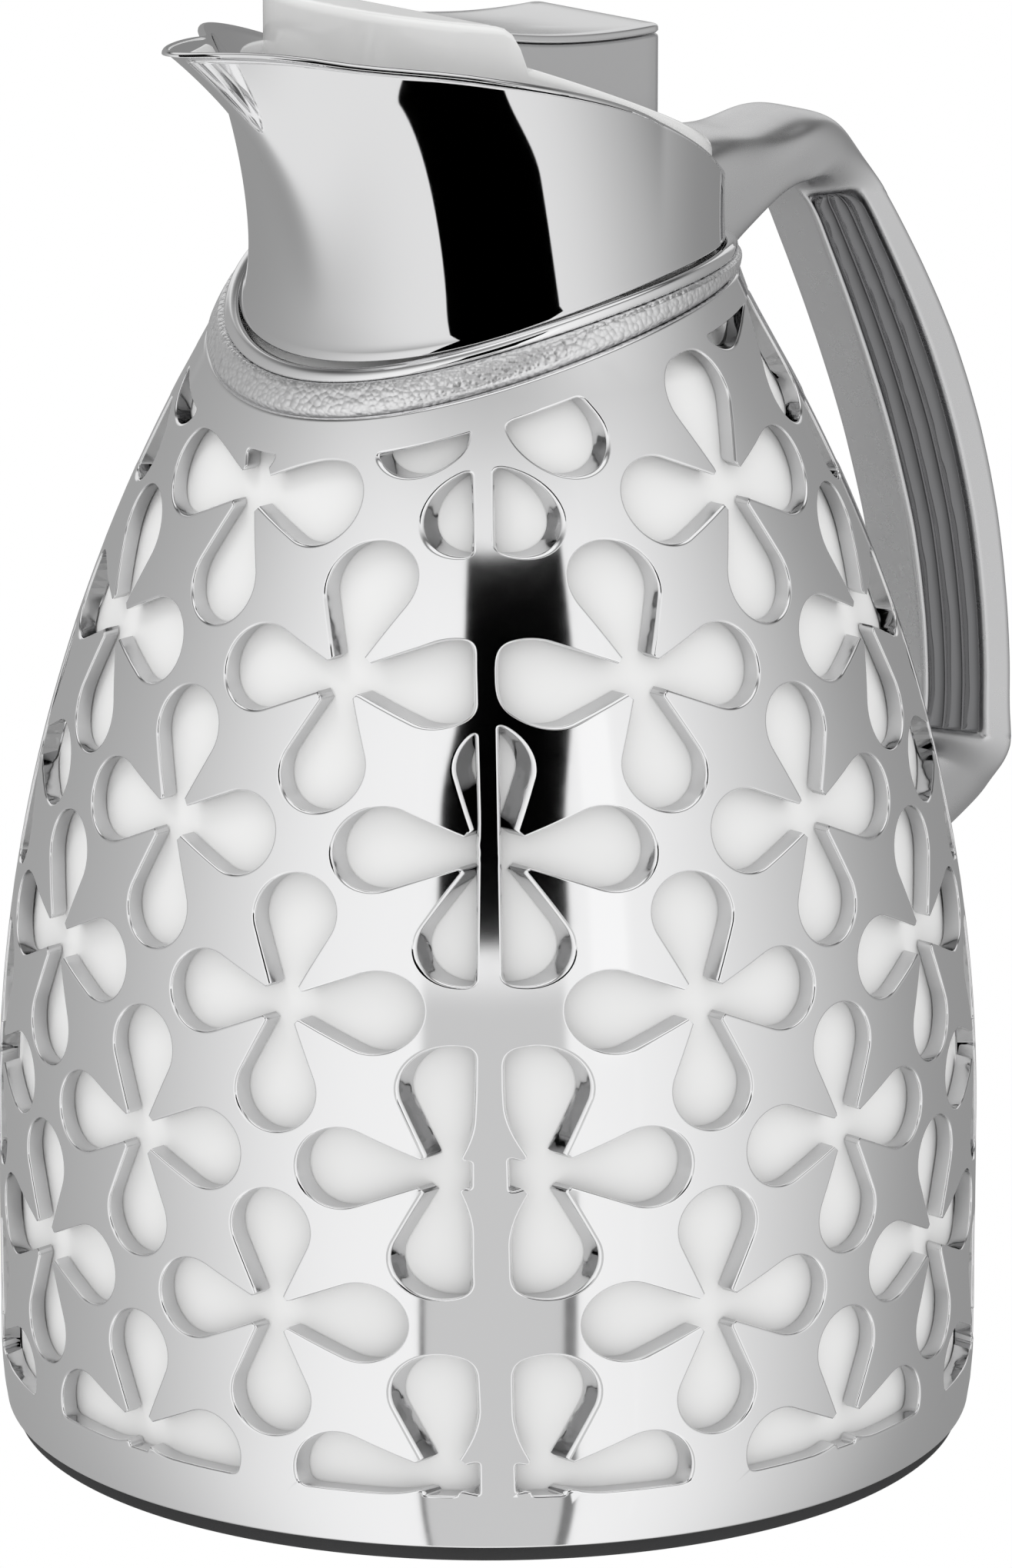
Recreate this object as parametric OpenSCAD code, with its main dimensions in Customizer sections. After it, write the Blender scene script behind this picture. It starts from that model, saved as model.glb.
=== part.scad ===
// Insulated serving jug with an openwork metal-look casing, a glass vacuum liner,
// a beaked pouring collar, a press-lever stopper and a closed side handle.
// Millimetres. Z is up, the jug's upright axis is Z, its foot stands on Z = 0.
// The spout points along -X and the handle along +X.

/* [Casing] */
// Largest radius of the casing
body_r = 80; // [76:0.5:86]
// Height up to which the casing is a straight barrel
barrel_h = 50; // [40:1:60]
// Radius of the arc that rounds the shoulder
shoulder_r = 264; // [250:1:290]
// Wall of the casing
casing_wall = 3; // [2:0.1:4]
// Inward tuck of the casing at its lower edge
foot_tuck = 1.5; // [0:0.1:3]
// Height over which the lower edge tucks in
tuck_h = 12; // [6:1:20]
// Height of the foot ring that shows below the casing
foot_h = 2.6; // [1.5:0.1:5]

/* [Openwork] */
// Sideways distance of a sector's second flowers from its middle
flower_p = 25.6; // [24:0.1:27]
// Sideways distance of the flowers that the ribs cut
rib_flower_p = 50.1; // [48:0.1:54]
// Height between two rows of flowers
flower_q = 25.04; // [24:0.01:28]
// Height of the centre of the lowest row
row_z = 14.6; // [12:0.1:20]
// Distance from a flower's centre to a petal's tip
petal_len = 20.8; // [16:0.1:21.5]
// Radius of a petal's round end
petal_r = 6.9; // [4:0.1:7.2]
// Width of a petal where it meets the centre
petal_neck = 2.4; // [2:0.1:5]
// Half width of the rib between two sectors, lower rows
rib_half = 2.4; // [1.5:0.1:3.5]
// Half width of the rib between two sectors, upper rows
rib_high = 1.3; // [1:0.1:3]
// Turn of the whole openwork about the axis, in degrees
work_turn = -0.43; // [-2:0.01:2]
// Sideways lean of the ribs over the height of the openwork
rib_lean = 2; // [0:0.1:3]
// Height of the plain band at the bottom of the casing
plain_band = 11.2; // [6:0.1:20]
// Plain rim that the openwork leaves below the casing's top edge
top_rim = 3.8; // [3:0.1:9]

/* [Neck] */
// Radius of the neck
neck_r = 39.5; // [37:0.1:42]
// Wall of the collar
collar_wall = 2.2; // [1.6:0.1:3]
// Height of the spout's tip
spout_z = 238; // [230:0.5:244]
// Distance of the spout's tip from the axis
spout_x = 71.5; // [60:0.5:78]
// Half angle of the spout's beak
beak_angle = 10.5; // [8:0.5:16]

/* [Liner] */
// Outer radius of the glass liner
liner_r = 66; // [58:0.5:68]
// Thickness of the glass
glass = 1.8; // [1.2:0.1:2.4]
// Height of the liner's mouth
mouth_z = 184; // [178:0.5:188]
// Outer radius of the liner's neck
mouth_r = 31.5; // [29:0.1:32.5]
// Evacuated gap between the liner's walls at the body
vacuum_gap = 4; // [2:0.5:6]

/* [Stopper] */
// Outer radius of the stopper's plug
plug_r = 26.4; // [24:0.1:28]
// Outer radius of the stopper's cap
cap_r = 35.8; // [33:0.1:36.2]
// Height of the top of the cap's hood
hood_z = 239.5; // [236:0.5:242]
// Wall of the cap
cap_wall = 2.2; // [1.6:0.1:3]
// Width of the thumb lever
lever_w = 28; // [22:0.5:30]
// Gap around the lever in the cap
lever_gap = 0.5; // [0.3:0.1:1]
// Radius of the lever's pin
pin_r = 1.5; // [1:0.1:2]
// Radius of the valve rod
rod_r = 2.5; // [2:0.1:3.5]

/* [Handle] */
// Width of the handle's outer band
handle_w = 22; // [18:0.5:28]
// Width of the handle's inner band
handle_inner_w = 15; // [12:0.5:18]
// Radius of the handle's outer arc
handle_arc = 146.2; // [142:0.1:150]
// Depth of the handle's grip
handle_depth = 13.2; // [11:0.1:15]
// Wall of the handle's outer band
handle_wall = 3.4; // [2.5:0.1:5]

/* [Hidden] */
eps = 0.01;
seat = 0.3;          // clearance between curved pieces that seat on each other
run = 0.05;          // radial running clearance of pins and rods
big = 300;           // reaches past the whole jug

// ---- shared forms -------------------------------------------------------

// Radius of the shoulder arc at height z
function arc_r(z) = body_r - shoulder_r + sqrt(pow(shoulder_r, 2) - pow(max(z - barrel_h, 0), 2));
// Radius of the jug's outer skin at height z: barrel, shoulder arc and neck in one line
neck_blend = 2.5;
function skin(z) =
  let (a = arc_r(z))
  z < tuck_h ? body_r - foot_tuck * pow(1 - z / tuck_h, 2)
  : (a + neck_r + sqrt(pow(a - neck_r, 2) + pow(neck_blend, 2))) / 2;
// Heights between which the skin is drawn as straight stretches: close together at the foot and the neck
levels = concat([0, 4, 8, tuck_h], [for (h = [barrel_h - 18:16:178]) h], [for (h = [180:5:230]) h]);
function skin_at(z) =
  let (i = max([for (k = [0:len(levels) - 2]) if (levels[k] <= z) k]), a = levels[i], b = levels[i + 1],
       t = (z - a) / (b - a))
  skin(a) * (1 - t) + skin(b) * t;
// Outline points of the skin from z0 up to z1, drawn in by d
function skin_line(z0, z1, d = 0) = concat(
  [[skin_at(z0) - d, z0]],
  [for (h = levels) if (h > z0 + 0.5 && h < z1 - 0.5) [skin(h) - d, h]],
  [[skin_at(z1) - d, z1]]);
// Shell that follows the skin between two depths
module skin_shell(z0, z1, d0, d1)
  rotate_extrude($fn = 80)
    polygon(concat(skin_line(z0, z1, d0), reverse(skin_line(z0, z1, d1))));
function reverse(v) = [for (i = [len(v) - 1:-1:0]) v[i]];
// Solid jug envelope, grown by d
module envelope(d = 0, top = 205)
  rotate_extrude($fn = 96) polygon(concat([[0, 0]], skin_line(0, top, -d), [[0, top]]));
// Cylinder along Y that trims the neck's sloping edges: [centre x, centre z, radius]
lip_arc = [18.5, 46.5, 150.5];
band_arc = [32, -15.6, 207.7];
module arc_cutter(a, d = 0)
  translate([a[0], 0, a[1]]) rotate([90, 0, 0]) cylinder(r = a[2] + d, h = big, center = true, $fn = 128);
// Height of a sloping edge above x
function arc_z(a, x) = a[1] + sqrt(pow(a[2], 2) - pow(x - a[0], 2));
// Ring with a rectangular section
module ring(r_in, r_out, z0, z1)
  translate([0, 0, z0]) difference() {
    cylinder(r = r_out, h = z1 - z0, $fn = 96);
    translate([0, 0, -1]) cylinder(r = r_in, h = z1 - z0 + 2, $fn = 96);
  }

// ---- casing and base ----------------------------------------------------

module outer_casing() color("silver") difference() {
  intersection() {
    skin_shell(foot_h, 200, 0, casing_wall);
    arc_cutter(band_arc);
  }
  screw_shanks(screw_r + 0.3);
  openwork();
}

// One flower: four petals with round ends, joined at the centre
petal_at = petal_len - petal_r;
petal_steps = 6;
petal_tilt = asin((petal_r - petal_neck / 2) / petal_at);
// Blunt metal tip between this petal and the next, where their straight sides would meet
tip_at = petal_neck / 2 / (cos(petal_tilt) - sin(petal_tilt)) + 0.4;
tip_side = (petal_neck / 2 + tip_at * sin(petal_tilt)) / cos(petal_tilt);
function turned(v, a) = [v[0] * cos(a) - v[1] * sin(a), v[0] * sin(a) + v[1] * cos(a)];
function petal(a) = concat(
  [for (i = [0:petal_steps]) let (b = (90 + petal_tilt) * (2 * i / petal_steps - 1))
    turned([petal_at + petal_r * cos(b), petal_r * sin(b)], a)],
  [turned([tip_at, tip_side], a), turned([tip_side, tip_at], a)]);
flower_points = [for (k = [0:3]) each petal(90 * k)];
// Sideways place of column c
function column(c) = sign(c) * (abs(c) > 1 ? rib_flower_p : abs(c) * flower_p);
// Cutter of one flower, pushed outwards along its sector's direction
module flower_cut(c, k)
  translate([10, column(c), row_z + k * flower_q]) rotate([90, 0, 90])
    linear_extrude(height = 100) polygon(flower_points);
// Wedge that one sector's cutters may take, between two leaning ribs of half width h
lean_angle = atan(rib_lean * sqrt(2) / 150);
lean_start = 0.6;
module sector_room(h)
  translate([0, lean_start * sqrt(2), plain_band]) rotate([lean_angle, 0, 0]) translate([h * sqrt(2), 0, -60])
    linear_extrude(height = 300) polygon([[0, 0], [100, 100], [100, -100]]);
// Flower (c, k) reaches past its sector's ribs, the plain band or the top rim
function needs_clip(c, k) = k == 0 || k > 4 || abs(c) == 2;
low_rows = 2;
module openwork()
  for (s = [0:3]) for (k = [0:7]) for (c = [-2:2]) if ((k + c) % 2 == 0)
    if (needs_clip(c, k)) intersection() {
      rotate(90 * s + work_turn) flower_cut(c, k);
      rotate(90 * s + work_turn) sector_room(k > low_rows ? rib_high : rib_half);
      if (k > 4) arc_cutter(band_arc, -top_rim);
      if (k == 0) translate([-big, -big, plain_band]) cube(2 * big);
    }
    else rotate(90 * s + work_turn) flower_cut(c, k);

inner_depth = casing_wall + seat;
inner_wall = 2;
inner_z = 6;
neck_inner_r = neck_r - collar_wall - seat;   // outer radius of the inner casing's neck
neck_top = 192;
neck_foot = 181;              // height where the inner casing leaves the skin for its neck
module inner_casing() color("white") difference() {
  rotate_extrude($fn = 96) polygon(concat(
    skin_line(inner_z, neck_foot, inner_depth),
    [[neck_inner_r, neck_foot + 3.5], [neck_inner_r, neck_top],
     [neck_inner_r - inner_wall, neck_top], [neck_inner_r - inner_wall, neck_foot + 3]],
    reverse(skin_line(inner_z, neck_foot - 1, inner_depth + inner_wall))));
  screw_shanks(screw_r + 0.3);
}

cover_r = skin(inner_z) - inner_depth - inner_wall - seat;
cover_z = 3.4;
cover_t = 2.4;
screw_count = 3;
screw_ring = 62;
module foot_ring() color("black") {
  ring(skin(0) - 9, skin(0) - 1, 0, foot_h);
}
module base_cover() color("dimgray") difference() {
  union() {
    translate([0, 0, cover_z]) cylinder(r = cover_r, h = cover_t, $fn = 96);
    ring(cushion_r + seat, cushion_r + seat + 2, cover_z + cover_t - eps, cover_z + cover_t + 5);
    for (k = [0:5]) rotate(60 * k)
      translate([cushion_r + 1.5, -1, cover_z + cover_t - eps]) cube([cover_r - cushion_r - 4, 2, 4]);
  }
  for (k = [0:screw_count - 1]) rotate(30 + 120 * k)
    translate([screw_ring, 0, 0]) cylinder(r = screw_r + 0.3, h = 20, $fn = 24);
}
screw_r = 1.5;
module base_screws() color("gray") for (k = [0:screw_count - 1]) rotate(30 + 120 * k)
  translate([screw_ring, 0, 0]) {
    translate([0, 0, cover_z - 1.6]) cylinder(r = 3, h = 1.6, $fn = 24);
    translate([0, 0, cover_z - eps]) cylinder(r = screw_r, h = 8, $fn = 24);
  }

cushion_r = 24;
cushion_z = cover_z + cover_t;
liner_z = 12;
module liner_cushion() color("dimgray") difference() {
  translate([0, 0, cushion_z]) cylinder(r = cushion_r, h = 9, $fn = 64);
  envelope_of_liner(seat);
  translate([0, 0, cushion_z - 1]) cylinder(r = 8, h = 20, $fn = 48);
}

// ---- glass liner --------------------------------------------------------

liner_low = 40;       // height where the liner's rounded bottom meets its straight wall
liner_high = 96;      // height where its shoulder begins
// Outline of a bottle: round bottom, straight wall, cosine shoulder, straight neck
function bottle(r, zb, z1, z2, rn, zt) = concat(
  [for (i = [0:8]) let (a = i * 90 / 8) [r * sin(a), z1 - (z1 - zb) * cos(a)]],
  [for (i = [0:8]) let (t = i / 8) [rn + (r - rn) * (1 + cos(180 * t)) / 2, z2 + (zt - 14 - z2) * t]],
  [[rn, zt]]);
liner_in_r = liner_r - 2 * glass - vacuum_gap;
mouth_in_r = mouth_r - 2 * glass - 1.2;
module bottle_solid(r, zb, z1, z2, rn, zt)
  rotate_extrude($fn = 96) polygon(concat(bottle(r, zb, z1, z2, rn, zt), [[0, zt]]));
module envelope_of_liner(d = 0)
  bottle_solid(liner_r + d, liner_z - d, liner_low, liner_high, mouth_r + d, mouth_z);
tip_r = 3;             // sealed exhaust tip under the liner
tip_len = 3;
module liner_outer() color("lightsteelblue") rotate_extrude($fn = 96) polygon(concat(
  [[0, liner_z - tip_len], [tip_r / 2, liner_z - tip_len], [tip_r, liner_z]],
  tail(bottle(liner_r, liner_z, liner_low, liner_high, mouth_r, mouth_z)),
  reverse(bottle(liner_r - glass, liner_z + glass, liner_low, liner_high, mouth_r - glass, mouth_z))));
function tail(v) = [for (i = [1:len(v) - 1]) v[i]];
inner_liner_z = liner_z + glass + vacuum_gap;
lip_r = mouth_r - glass - eps;
module liner_inner() color("lightsteelblue") rotate_extrude($fn = 96) polygon(concat(
  bottle(liner_in_r + glass, inner_liner_z, liner_low, liner_high - 3, mouth_in_r + glass, mouth_z - 1.6),
  [[lip_r, mouth_z - 1.6], [lip_r, mouth_z]],
  reverse(bottle(liner_in_r, inner_liner_z + glass, liner_low, liner_high - 3, mouth_in_r, mouth_z))));

// ---- neck ---------------------------------------------------------------

gasket_h = 3;
module neck_gasket() color("whitesmoke")
  ring(mouth_in_r, mouth_r + 2, mouth_z, mouth_z + gasket_h);

throat_r = plug_r + 0.4;
throat_z = mouth_z + gasket_h;
throat_top = throat_z + 8;
flange_z = throat_z + 5;
module throat_insert() color("white") {
  ring(throat_r, mouth_r + 2, throat_z, throat_top);
  ring(mouth_r + 1, neck_r - collar_wall - seat, flange_z, flange_z + 2);
}

band_depth = 0.8;
module neck_band() color("lightgray") intersection() {
  difference() {
    skin_shell(168, 201, band_depth, band_depth + 2.2);
    arc_cutter(band_arc);
  }
  arc_cutter(lip_arc, -2.2);
}

// Collar: a tube whose plan is a circle with a beak, lofted from the lip edge to the rim
loft_n = 12;          // steps up the collar
loft_m = 72;          // steps round it
rim_arc = [-76, 54.3, 183.3];
rim_back = 207;
beak_power = 1.65;
function rim_z(x) = max(rim_back, arc_z(rim_arc, max(x, -spout_x)));
function beak(a, w) = 1 / (1 + pow(a / w, 2));
function collar_point(i, j, d) =
  let (a = 180 - abs(180 - 360 * j / loft_m), s = j > loft_m / 2 ? -1 : 1,
       b = beak(a, beak_angle), t = i / loft_n,
       reach = (spout_x - neck_r) * b,
       x0 = -skin(186) * cos(a), x1 = -(neck_r + reach) * cos(a),
       z0 = arc_z(lip_arc, x0), z1 = rim_z(x1), z = z0 + (z1 - z0) * t,
       r = skin(z) + reach * pow(t, beak_power) - d)
  [-r * cos(a), s * r * sin(a), z];
function collar_skin(d) = [for (i = [0:loft_n]) for (j = [0:loft_m - 1]) collar_point(i, j, d)];
function quad(i, j, n, m, o, f) =
  let (a = o + i * m + j, b = o + i * m + (j + 1) % m, c = b + m, e = a + m)
  f ? [a, e, c, b] : [a, b, c, e];
module collar() color("silver") difference() {
  collar_loft();
  crown_shank(screw_r + 0.3);
}
module collar_loft() {
  m = loft_m;
  o = (loft_n + 1) * m;
  polyhedron(
    points = concat(collar_skin(0), collar_skin(collar_wall)),
    faces = concat(
      [for (i = [0:loft_n - 1]) for (j = [0:m - 1]) each split(quad(i, j, loft_n, m, 0, true))],
      [for (i = [0:loft_n - 1]) for (j = [0:m - 1]) each split(quad(i, j, loft_n, m, o, false))],
      [for (j = [0:m - 1]) each split([j, (j + 1) % m, o + (j + 1) % m, o + j])],
      [for (j = [0:m - 1]) let (t = loft_n * m)
        each split([t + (j + 1) % m, t + j, o + t + j, o + t + (j + 1) % m])]));
}
function split(f) = [[f[0], f[1], f[2]], [f[0], f[2], f[3]]];

// ---- stopper ------------------------------------------------------------

plug_z = throat_z - 0.5;
deck_z = 201.5;
deck_t = 2;
seat_r = 9;
window_z = throat_top + 0.5;
module stopper_plug() color("white") difference() {
  translate([0, 0, plug_z]) cylinder(r = plug_r, h = deck_z - plug_z, $fn = 96);
  translate([0, 0, plug_z + 2.4]) cylinder(r = plug_r - 2.4, h = deck_z - deck_t - plug_z - 2.4, $fn = 96);
  translate([0, 0, plug_z - 1]) cylinder(r = seat_r, h = 5, $fn = 48);
  translate([0, 0, deck_z - 5]) cylinder(r = rod_r + run, h = 8, $fn = 48);
  translate([-plug_r - 1, -14, window_z]) cube([12, 28, deck_z - deck_t - window_z]);
  translate([0, 0, plug_z + 3]) difference() {
    cylinder(r = plug_r + 1, h = 2.6, $fn = 96);
    translate([0, 0, -1]) cylinder(r = plug_r - 1.2, h = 5, $fn = 96);
  }
}
module stopper_gasket() color("lightgray")
  ring(plug_r - 1.2 + run, plug_r + 0.2, plug_z + 3.1, plug_z + 5.5);

// Side outline of the cap: hood at the spout's side, roof sloping down to the handle
cap_z = deck_z + 0.1;
hood_back = -22;
roof_slope = 0.45;
function roof_z(x) = 224 - roof_slope * x;
function cap_outline(d) = [
  [-cap_r - 5, cap_z - 1], [-cap_r - 5, hood_z + 0.6 - d], [hood_back - 4, hood_z - 1.3 - d],
  [hood_back - 1.2, hood_z - 2.3 - d], [hood_back + 0.3, roof_z(hood_back) + 0.2 - d],
  [cap_r + 5, roof_z(cap_r + 5) - d], [cap_r + 5, cap_z - 1]];
module cap_form(r, d)
  intersection() {
    translate([0, 0, cap_z]) cylinder(r = r, h = 60, $fn = 96);
    rotate([90, 0, 0]) linear_extrude(height = big, center = true) polygon(cap_outline(d));
  }
lever_x0 = -17.4;
lever_x1 = 26;
pin_x = -12.5;
pin_z = 224;
slot_w = lever_w + 2 * lever_gap;
module stopper_cap() color("white") difference() {
  union() {
    difference() {
      cap_form(cap_r, 0);
      translate([0, 0, -eps]) cap_form(cap_r - cap_wall, cap_wall);
    }
    // cheeks of the lever's slot, which carry its pin
    for (s = [-1, 1]) intersection() {
      cap_form(cap_r, 0);
      translate([lever_x0 - 4, s * (slot_w / 2 + 1) - 1, 208]) cube([lever_x1 - lever_x0 + 6, 2, 60]);
    }
    // floor that seats on the plug's deck
    difference() {
      ring(plug_r - 9, cap_r - 1, cap_z, cap_z + 1.8);
      translate([20, -20, cap_z - 1]) cube([40, 40, 4]);
    }
  }
  translate([lever_x0 - lever_gap, -slot_w / 2, cap_z + 3])
    cube([lever_x1 - lever_x0 + 2 * lever_gap + 0.6, slot_w, 60]);
  translate([pin_x, 0, pin_z]) rotate([90, 0, 0])
    cylinder(r = pin_r + run, h = slot_w + 5, center = true, $fn = 32);
}

pin_len = slot_w + 3.6;
module lever_pin() color("gray")
  translate([pin_x, 0, pin_z]) rotate([90, 0, 0]) cylinder(r = pin_r, h = pin_len, center = true, $fn = 32);

// Top line of the lever: a shallow concave arc from its raised front to its thumb end
lever_front_z = 235;
lever_rear_z = 228.5;
lever_sag = 1.4;
lever_steps = 10;
function lever_top(x) =
  let (t = (x - lever_x0) / (lever_x1 - lever_x0))
  lever_front_z + (lever_rear_z - lever_front_z) * t - lever_sag * 4 * t * (1 - t);
function lever_line(x0, x1, d) =
  [for (i = [0:lever_steps]) let (x = x0 + (x1 - x0) * i / lever_steps) [x, lever_top(x) - d]];
plate_t = 1.3;
lever_wall = 1.8;
lever_low = 211;
lever_front_low = 218;
module side_extrude(w) rotate([90, 0, 0]) linear_extrude(height = w, center = true) children();
module lever_body() color("silver") difference() {
  union() {
    difference() {
      lever_form();
      side_extrude(lever_w - 2 * lever_wall) polygon(concat(
        lever_line(lever_x0 + lever_wall, lever_x1 - lever_wall, plate_t + lever_wall),
        [[lever_x1 - lever_wall, lever_low - 1], [0, lever_low - 1], [lever_x0 + lever_wall, lever_low]]));
    }
    // round pad over the rod's head, and bosses for the pin
    intersection() {
      translate([0, 0, head_z + seat + pad_r]) rotate([90, 0, 0])
        cylinder(r = pad_r, h = 8, center = true, $fn = 32);
      lever_form();
    }
    for (s = [-1, 1]) translate([pin_x, s * (lever_w / 2 - 2.5), pin_z])
      rotate([90, 0, 0]) cylinder(r = 3.2, h = 5, center = true, $fn = 32);
  }
  translate([pin_x, 0, pin_z]) rotate([90, 0, 0])
    cylinder(r = pin_r + run, h = lever_w + 2, center = true, $fn = 32);
}
pad_r = 2.2;
module lever_form() side_extrude(lever_w) polygon(concat(lever_line(lever_x0, lever_x1, plate_t),
  [[lever_x1, lever_low], [8, lever_low], [-6, lever_front_low], [lever_x0, lever_front_low + 3]]));
module lever_plate() color("silver")
  side_extrude(lever_w) polygon(concat(lever_line(lever_x0, lever_x1, 0),
    reverse(lever_line(lever_x0, lever_x1, plate_t))));

disc_r = 12;
disc_z = 182;
head_z = 226.5;
module valve_rod() color("gray")
  translate([0, 0, disc_z + 2.4]) cylinder(r = rod_r, h = head_z - 2.4 - disc_z - 2.4, $fn = 48);
module valve_disc() color("white")
  translate([0, 0, disc_z]) cylinder(r = disc_r, h = 2.4, $fn = 64);
module valve_seal() color("dimgray")
  ring(rod_r + 4, disc_r - 1, disc_z + 2.4, plug_z - seat);
module rod_head() color("white")
  translate([0, 0, head_z - 2.4]) cylinder(r = 4.6, h = 2.4, $fn = 48);

spring_r = 3.7;
spring_wire = 0.5;
module return_spring() color("gray")
  ring(spring_r - spring_wire, spring_r + spring_wire, deck_z + seat, head_z - 2.4 - seat);

// ---- handle -------------------------------------------------------------

handle_c = [-29.5, 99];
crown_c = [52, 184];
crown_r = 30;
hand_r = handle_arc - handle_depth;
function arc_pts(c, r, a0, a1, n) = [for (i = [0:n]) let (a = a0 + (a1 - a0) * i / n) c + r * [cos(a), sin(a)]];
crown_in = 112;      // angle where the crown leaves the collar
crown_out = 22;      // angle where the crown meets the grip's arc
grip_top = 41.5;     // angle of the grip's arc at its upper end
handle_outline = concat(
  [[34, 211]],
  arc_pts(crown_c, crown_r, crown_in, crown_out, 12),
  arc_pts(handle_c, handle_arc, grip_top, 0, 14),
  [[116.7, 90], [114.5, 86.6], [70, 61.3], [70, 90], [100, 93.5]],
  arc_pts(handle_c, hand_r, 1.5, 42.5, 14),
  [[66, 198.5], [44.6, 188.3], [36, 184]]);
module grip_region(r0, r1, a0, a1, y0, y1)
  for (s = [-1, 1]) translate([0, s * (y0 + y1) / 2, 0]) side_extrude(y1 - y0)
    polygon(concat(arc_pts(handle_c, r1, a0, a1, 14), reverse(arc_pts(handle_c, r0, a0, a1, 14))));
module handle_shell() color("lightgray") difference() {
  side_extrude(handle_w) polygon(handle_outline);
  grip_region(hand_r - 8, handle_arc - handle_wall, 2.5, 39, handle_inner_w / 2, handle_w);
  side_extrude(handle_w) polygon(concat(arc_pts(handle_c, hand_r + 2.4, 4, 37, 14),
    reverse(arc_pts(handle_c, hand_r - 8, 4, 37, 14))));
  envelope(seat, 216);
  screw_shanks(screw_r + run);
  crown_shank(screw_r + run);
}
module handle_inner() color("gainsboro")
  side_extrude(handle_inner_w) polygon(concat(arc_pts(handle_c, hand_r + 2.3, 4.2, 36.8, 14),
    reverse(arc_pts(handle_c, hand_r, 4.2, 36.8, 14))));
rib_n = 3;
module grip(s) color("gray")
  intersection() {
    translate([0, s * handle_w / 2, 0]) cube([big, handle_w, big * 2], center = true);
    difference() {
      grip_region(hand_r + 0.8, handle_arc - handle_wall - 0.1, 3, 38.5, handle_inner_w / 2 + 0.05, handle_w / 2 - 0.9);
      for (k = [0:rib_n - 1]) let (r = hand_r + 2.2 + k * 2.3)
        grip_region(r, r + 0.8, 4, 37.5, handle_w / 2 - 1.7, handle_w / 2);
    }
  }
module grip_left() grip(-1);
module grip_right() grip(1);
// Two screws pass through both casings into the handle's lower arm, one through the collar into its crown
crown_screw_z = 198.4;
module crown_shank(r) translate([30, 0, crown_screw_z]) rotate([0, 90, 0]) cylinder(r = r, h = 24, $fn = 24);
handle_screw_z = [74, 84];
module screw_shanks(r) for (z = handle_screw_z)
  translate([68, 0, z]) rotate([0, 90, 0]) cylinder(r = r, h = 24, $fn = 24);
module handle_screws() color("gray") for (z = handle_screw_z) {
  translate([skin(z) - inner_depth - inner_wall - 2.4, 0, z]) rotate([0, 90, 0]) {
    cylinder(r = 3, h = 1.8, $fn = 24);
    cylinder(r = screw_r, h = 18, $fn = 24);
  }
  translate([neck_r - collar_wall - 1.5, 0, crown_screw_z]) rotate([0, 90, 0]) {
    cylinder(r = 2.8, h = 1.3, $fn = 24);
    cylinder(r = screw_r, h = 15, $fn = 24);
  }
}

outer_casing();
inner_casing();
foot_ring();
base_cover();
base_screws();
liner_cushion();
liner_outer();
liner_inner();
neck_gasket();
throat_insert();
neck_band();
collar();
handle_shell();
handle_inner();
grip_left();
grip_right();
handle_screws();
stopper_gasket();
stopper_plug();
stopper_cap();
lever_pin();
lever_body();
lever_plate();
valve_rod();
valve_disc();
valve_seal();
rod_head();
return_spring();
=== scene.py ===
"""Insulated serving jug: the finished surfaces that ride on the jug's CAD frame.

Shapes are worked out in millimetres and stored in metres. The spout points to -X and the
handle to +X, and the jug stands on the origin.
"""

import logging
import math
from dataclasses import dataclass, field
from enum import Enum
from typing import Callable, Optional, Sequence

import bmesh
import bpy
import numpy as np
from mathutils import Matrix, Vector
from mathutils.geometry import delaunay_2d_cdt

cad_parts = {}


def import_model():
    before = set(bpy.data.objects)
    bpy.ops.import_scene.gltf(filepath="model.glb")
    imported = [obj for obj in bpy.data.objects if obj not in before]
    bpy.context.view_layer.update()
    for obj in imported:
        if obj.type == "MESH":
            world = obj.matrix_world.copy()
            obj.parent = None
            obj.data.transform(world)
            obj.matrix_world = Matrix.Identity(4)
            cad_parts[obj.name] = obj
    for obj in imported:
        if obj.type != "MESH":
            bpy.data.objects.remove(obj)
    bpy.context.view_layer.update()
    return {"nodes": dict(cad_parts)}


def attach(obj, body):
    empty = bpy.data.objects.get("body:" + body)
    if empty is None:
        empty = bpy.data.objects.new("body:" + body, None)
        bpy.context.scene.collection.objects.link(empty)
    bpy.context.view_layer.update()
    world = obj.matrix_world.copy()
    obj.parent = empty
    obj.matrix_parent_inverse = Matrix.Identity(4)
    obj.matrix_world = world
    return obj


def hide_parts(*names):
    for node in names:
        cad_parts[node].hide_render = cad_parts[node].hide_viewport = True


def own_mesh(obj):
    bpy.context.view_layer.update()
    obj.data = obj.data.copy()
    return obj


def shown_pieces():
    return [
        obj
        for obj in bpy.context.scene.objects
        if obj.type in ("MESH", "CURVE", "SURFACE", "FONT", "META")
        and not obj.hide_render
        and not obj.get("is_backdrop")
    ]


LOG = logging.getLogger("jug")
MM = 0.001
QUARTER = math.pi / 2
IMAGE_H = 2039
MERGE_M = 2e-6


class Body(Enum):
    """The bodies of the jug that finished pieces ride on."""

    JUG = "jug"
    STOPPER = "stopper"
    LEVER = "lever"


# ---- mesh helpers --------------------------------------------------------


def around(count: int = 240) -> np.ndarray:
    """Returns evenly spaced azimuths."""
    return np.linspace(0, math.tau, count, endpoint=False)


def polar(radius: np.ndarray, theta: np.ndarray, z: np.ndarray) -> np.ndarray:
    """Returns points at radii, azimuths and heights."""
    return np.stack(np.broadcast_arrays(radius * np.cos(theta), radius * np.sin(theta), z), 1)


def unit(vectors: np.ndarray) -> np.ndarray:
    """Returns rows of vectors made one long."""
    return vectors / np.linalg.norm(vectors, axis=1)[:, None]


def ramp(value: np.ndarray, start: float, length: float) -> np.ndarray:
    """Returns a straight rise from 0 at start to 1 at start + length."""
    return np.clip((value - start) / length, 0, 1)


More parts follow.
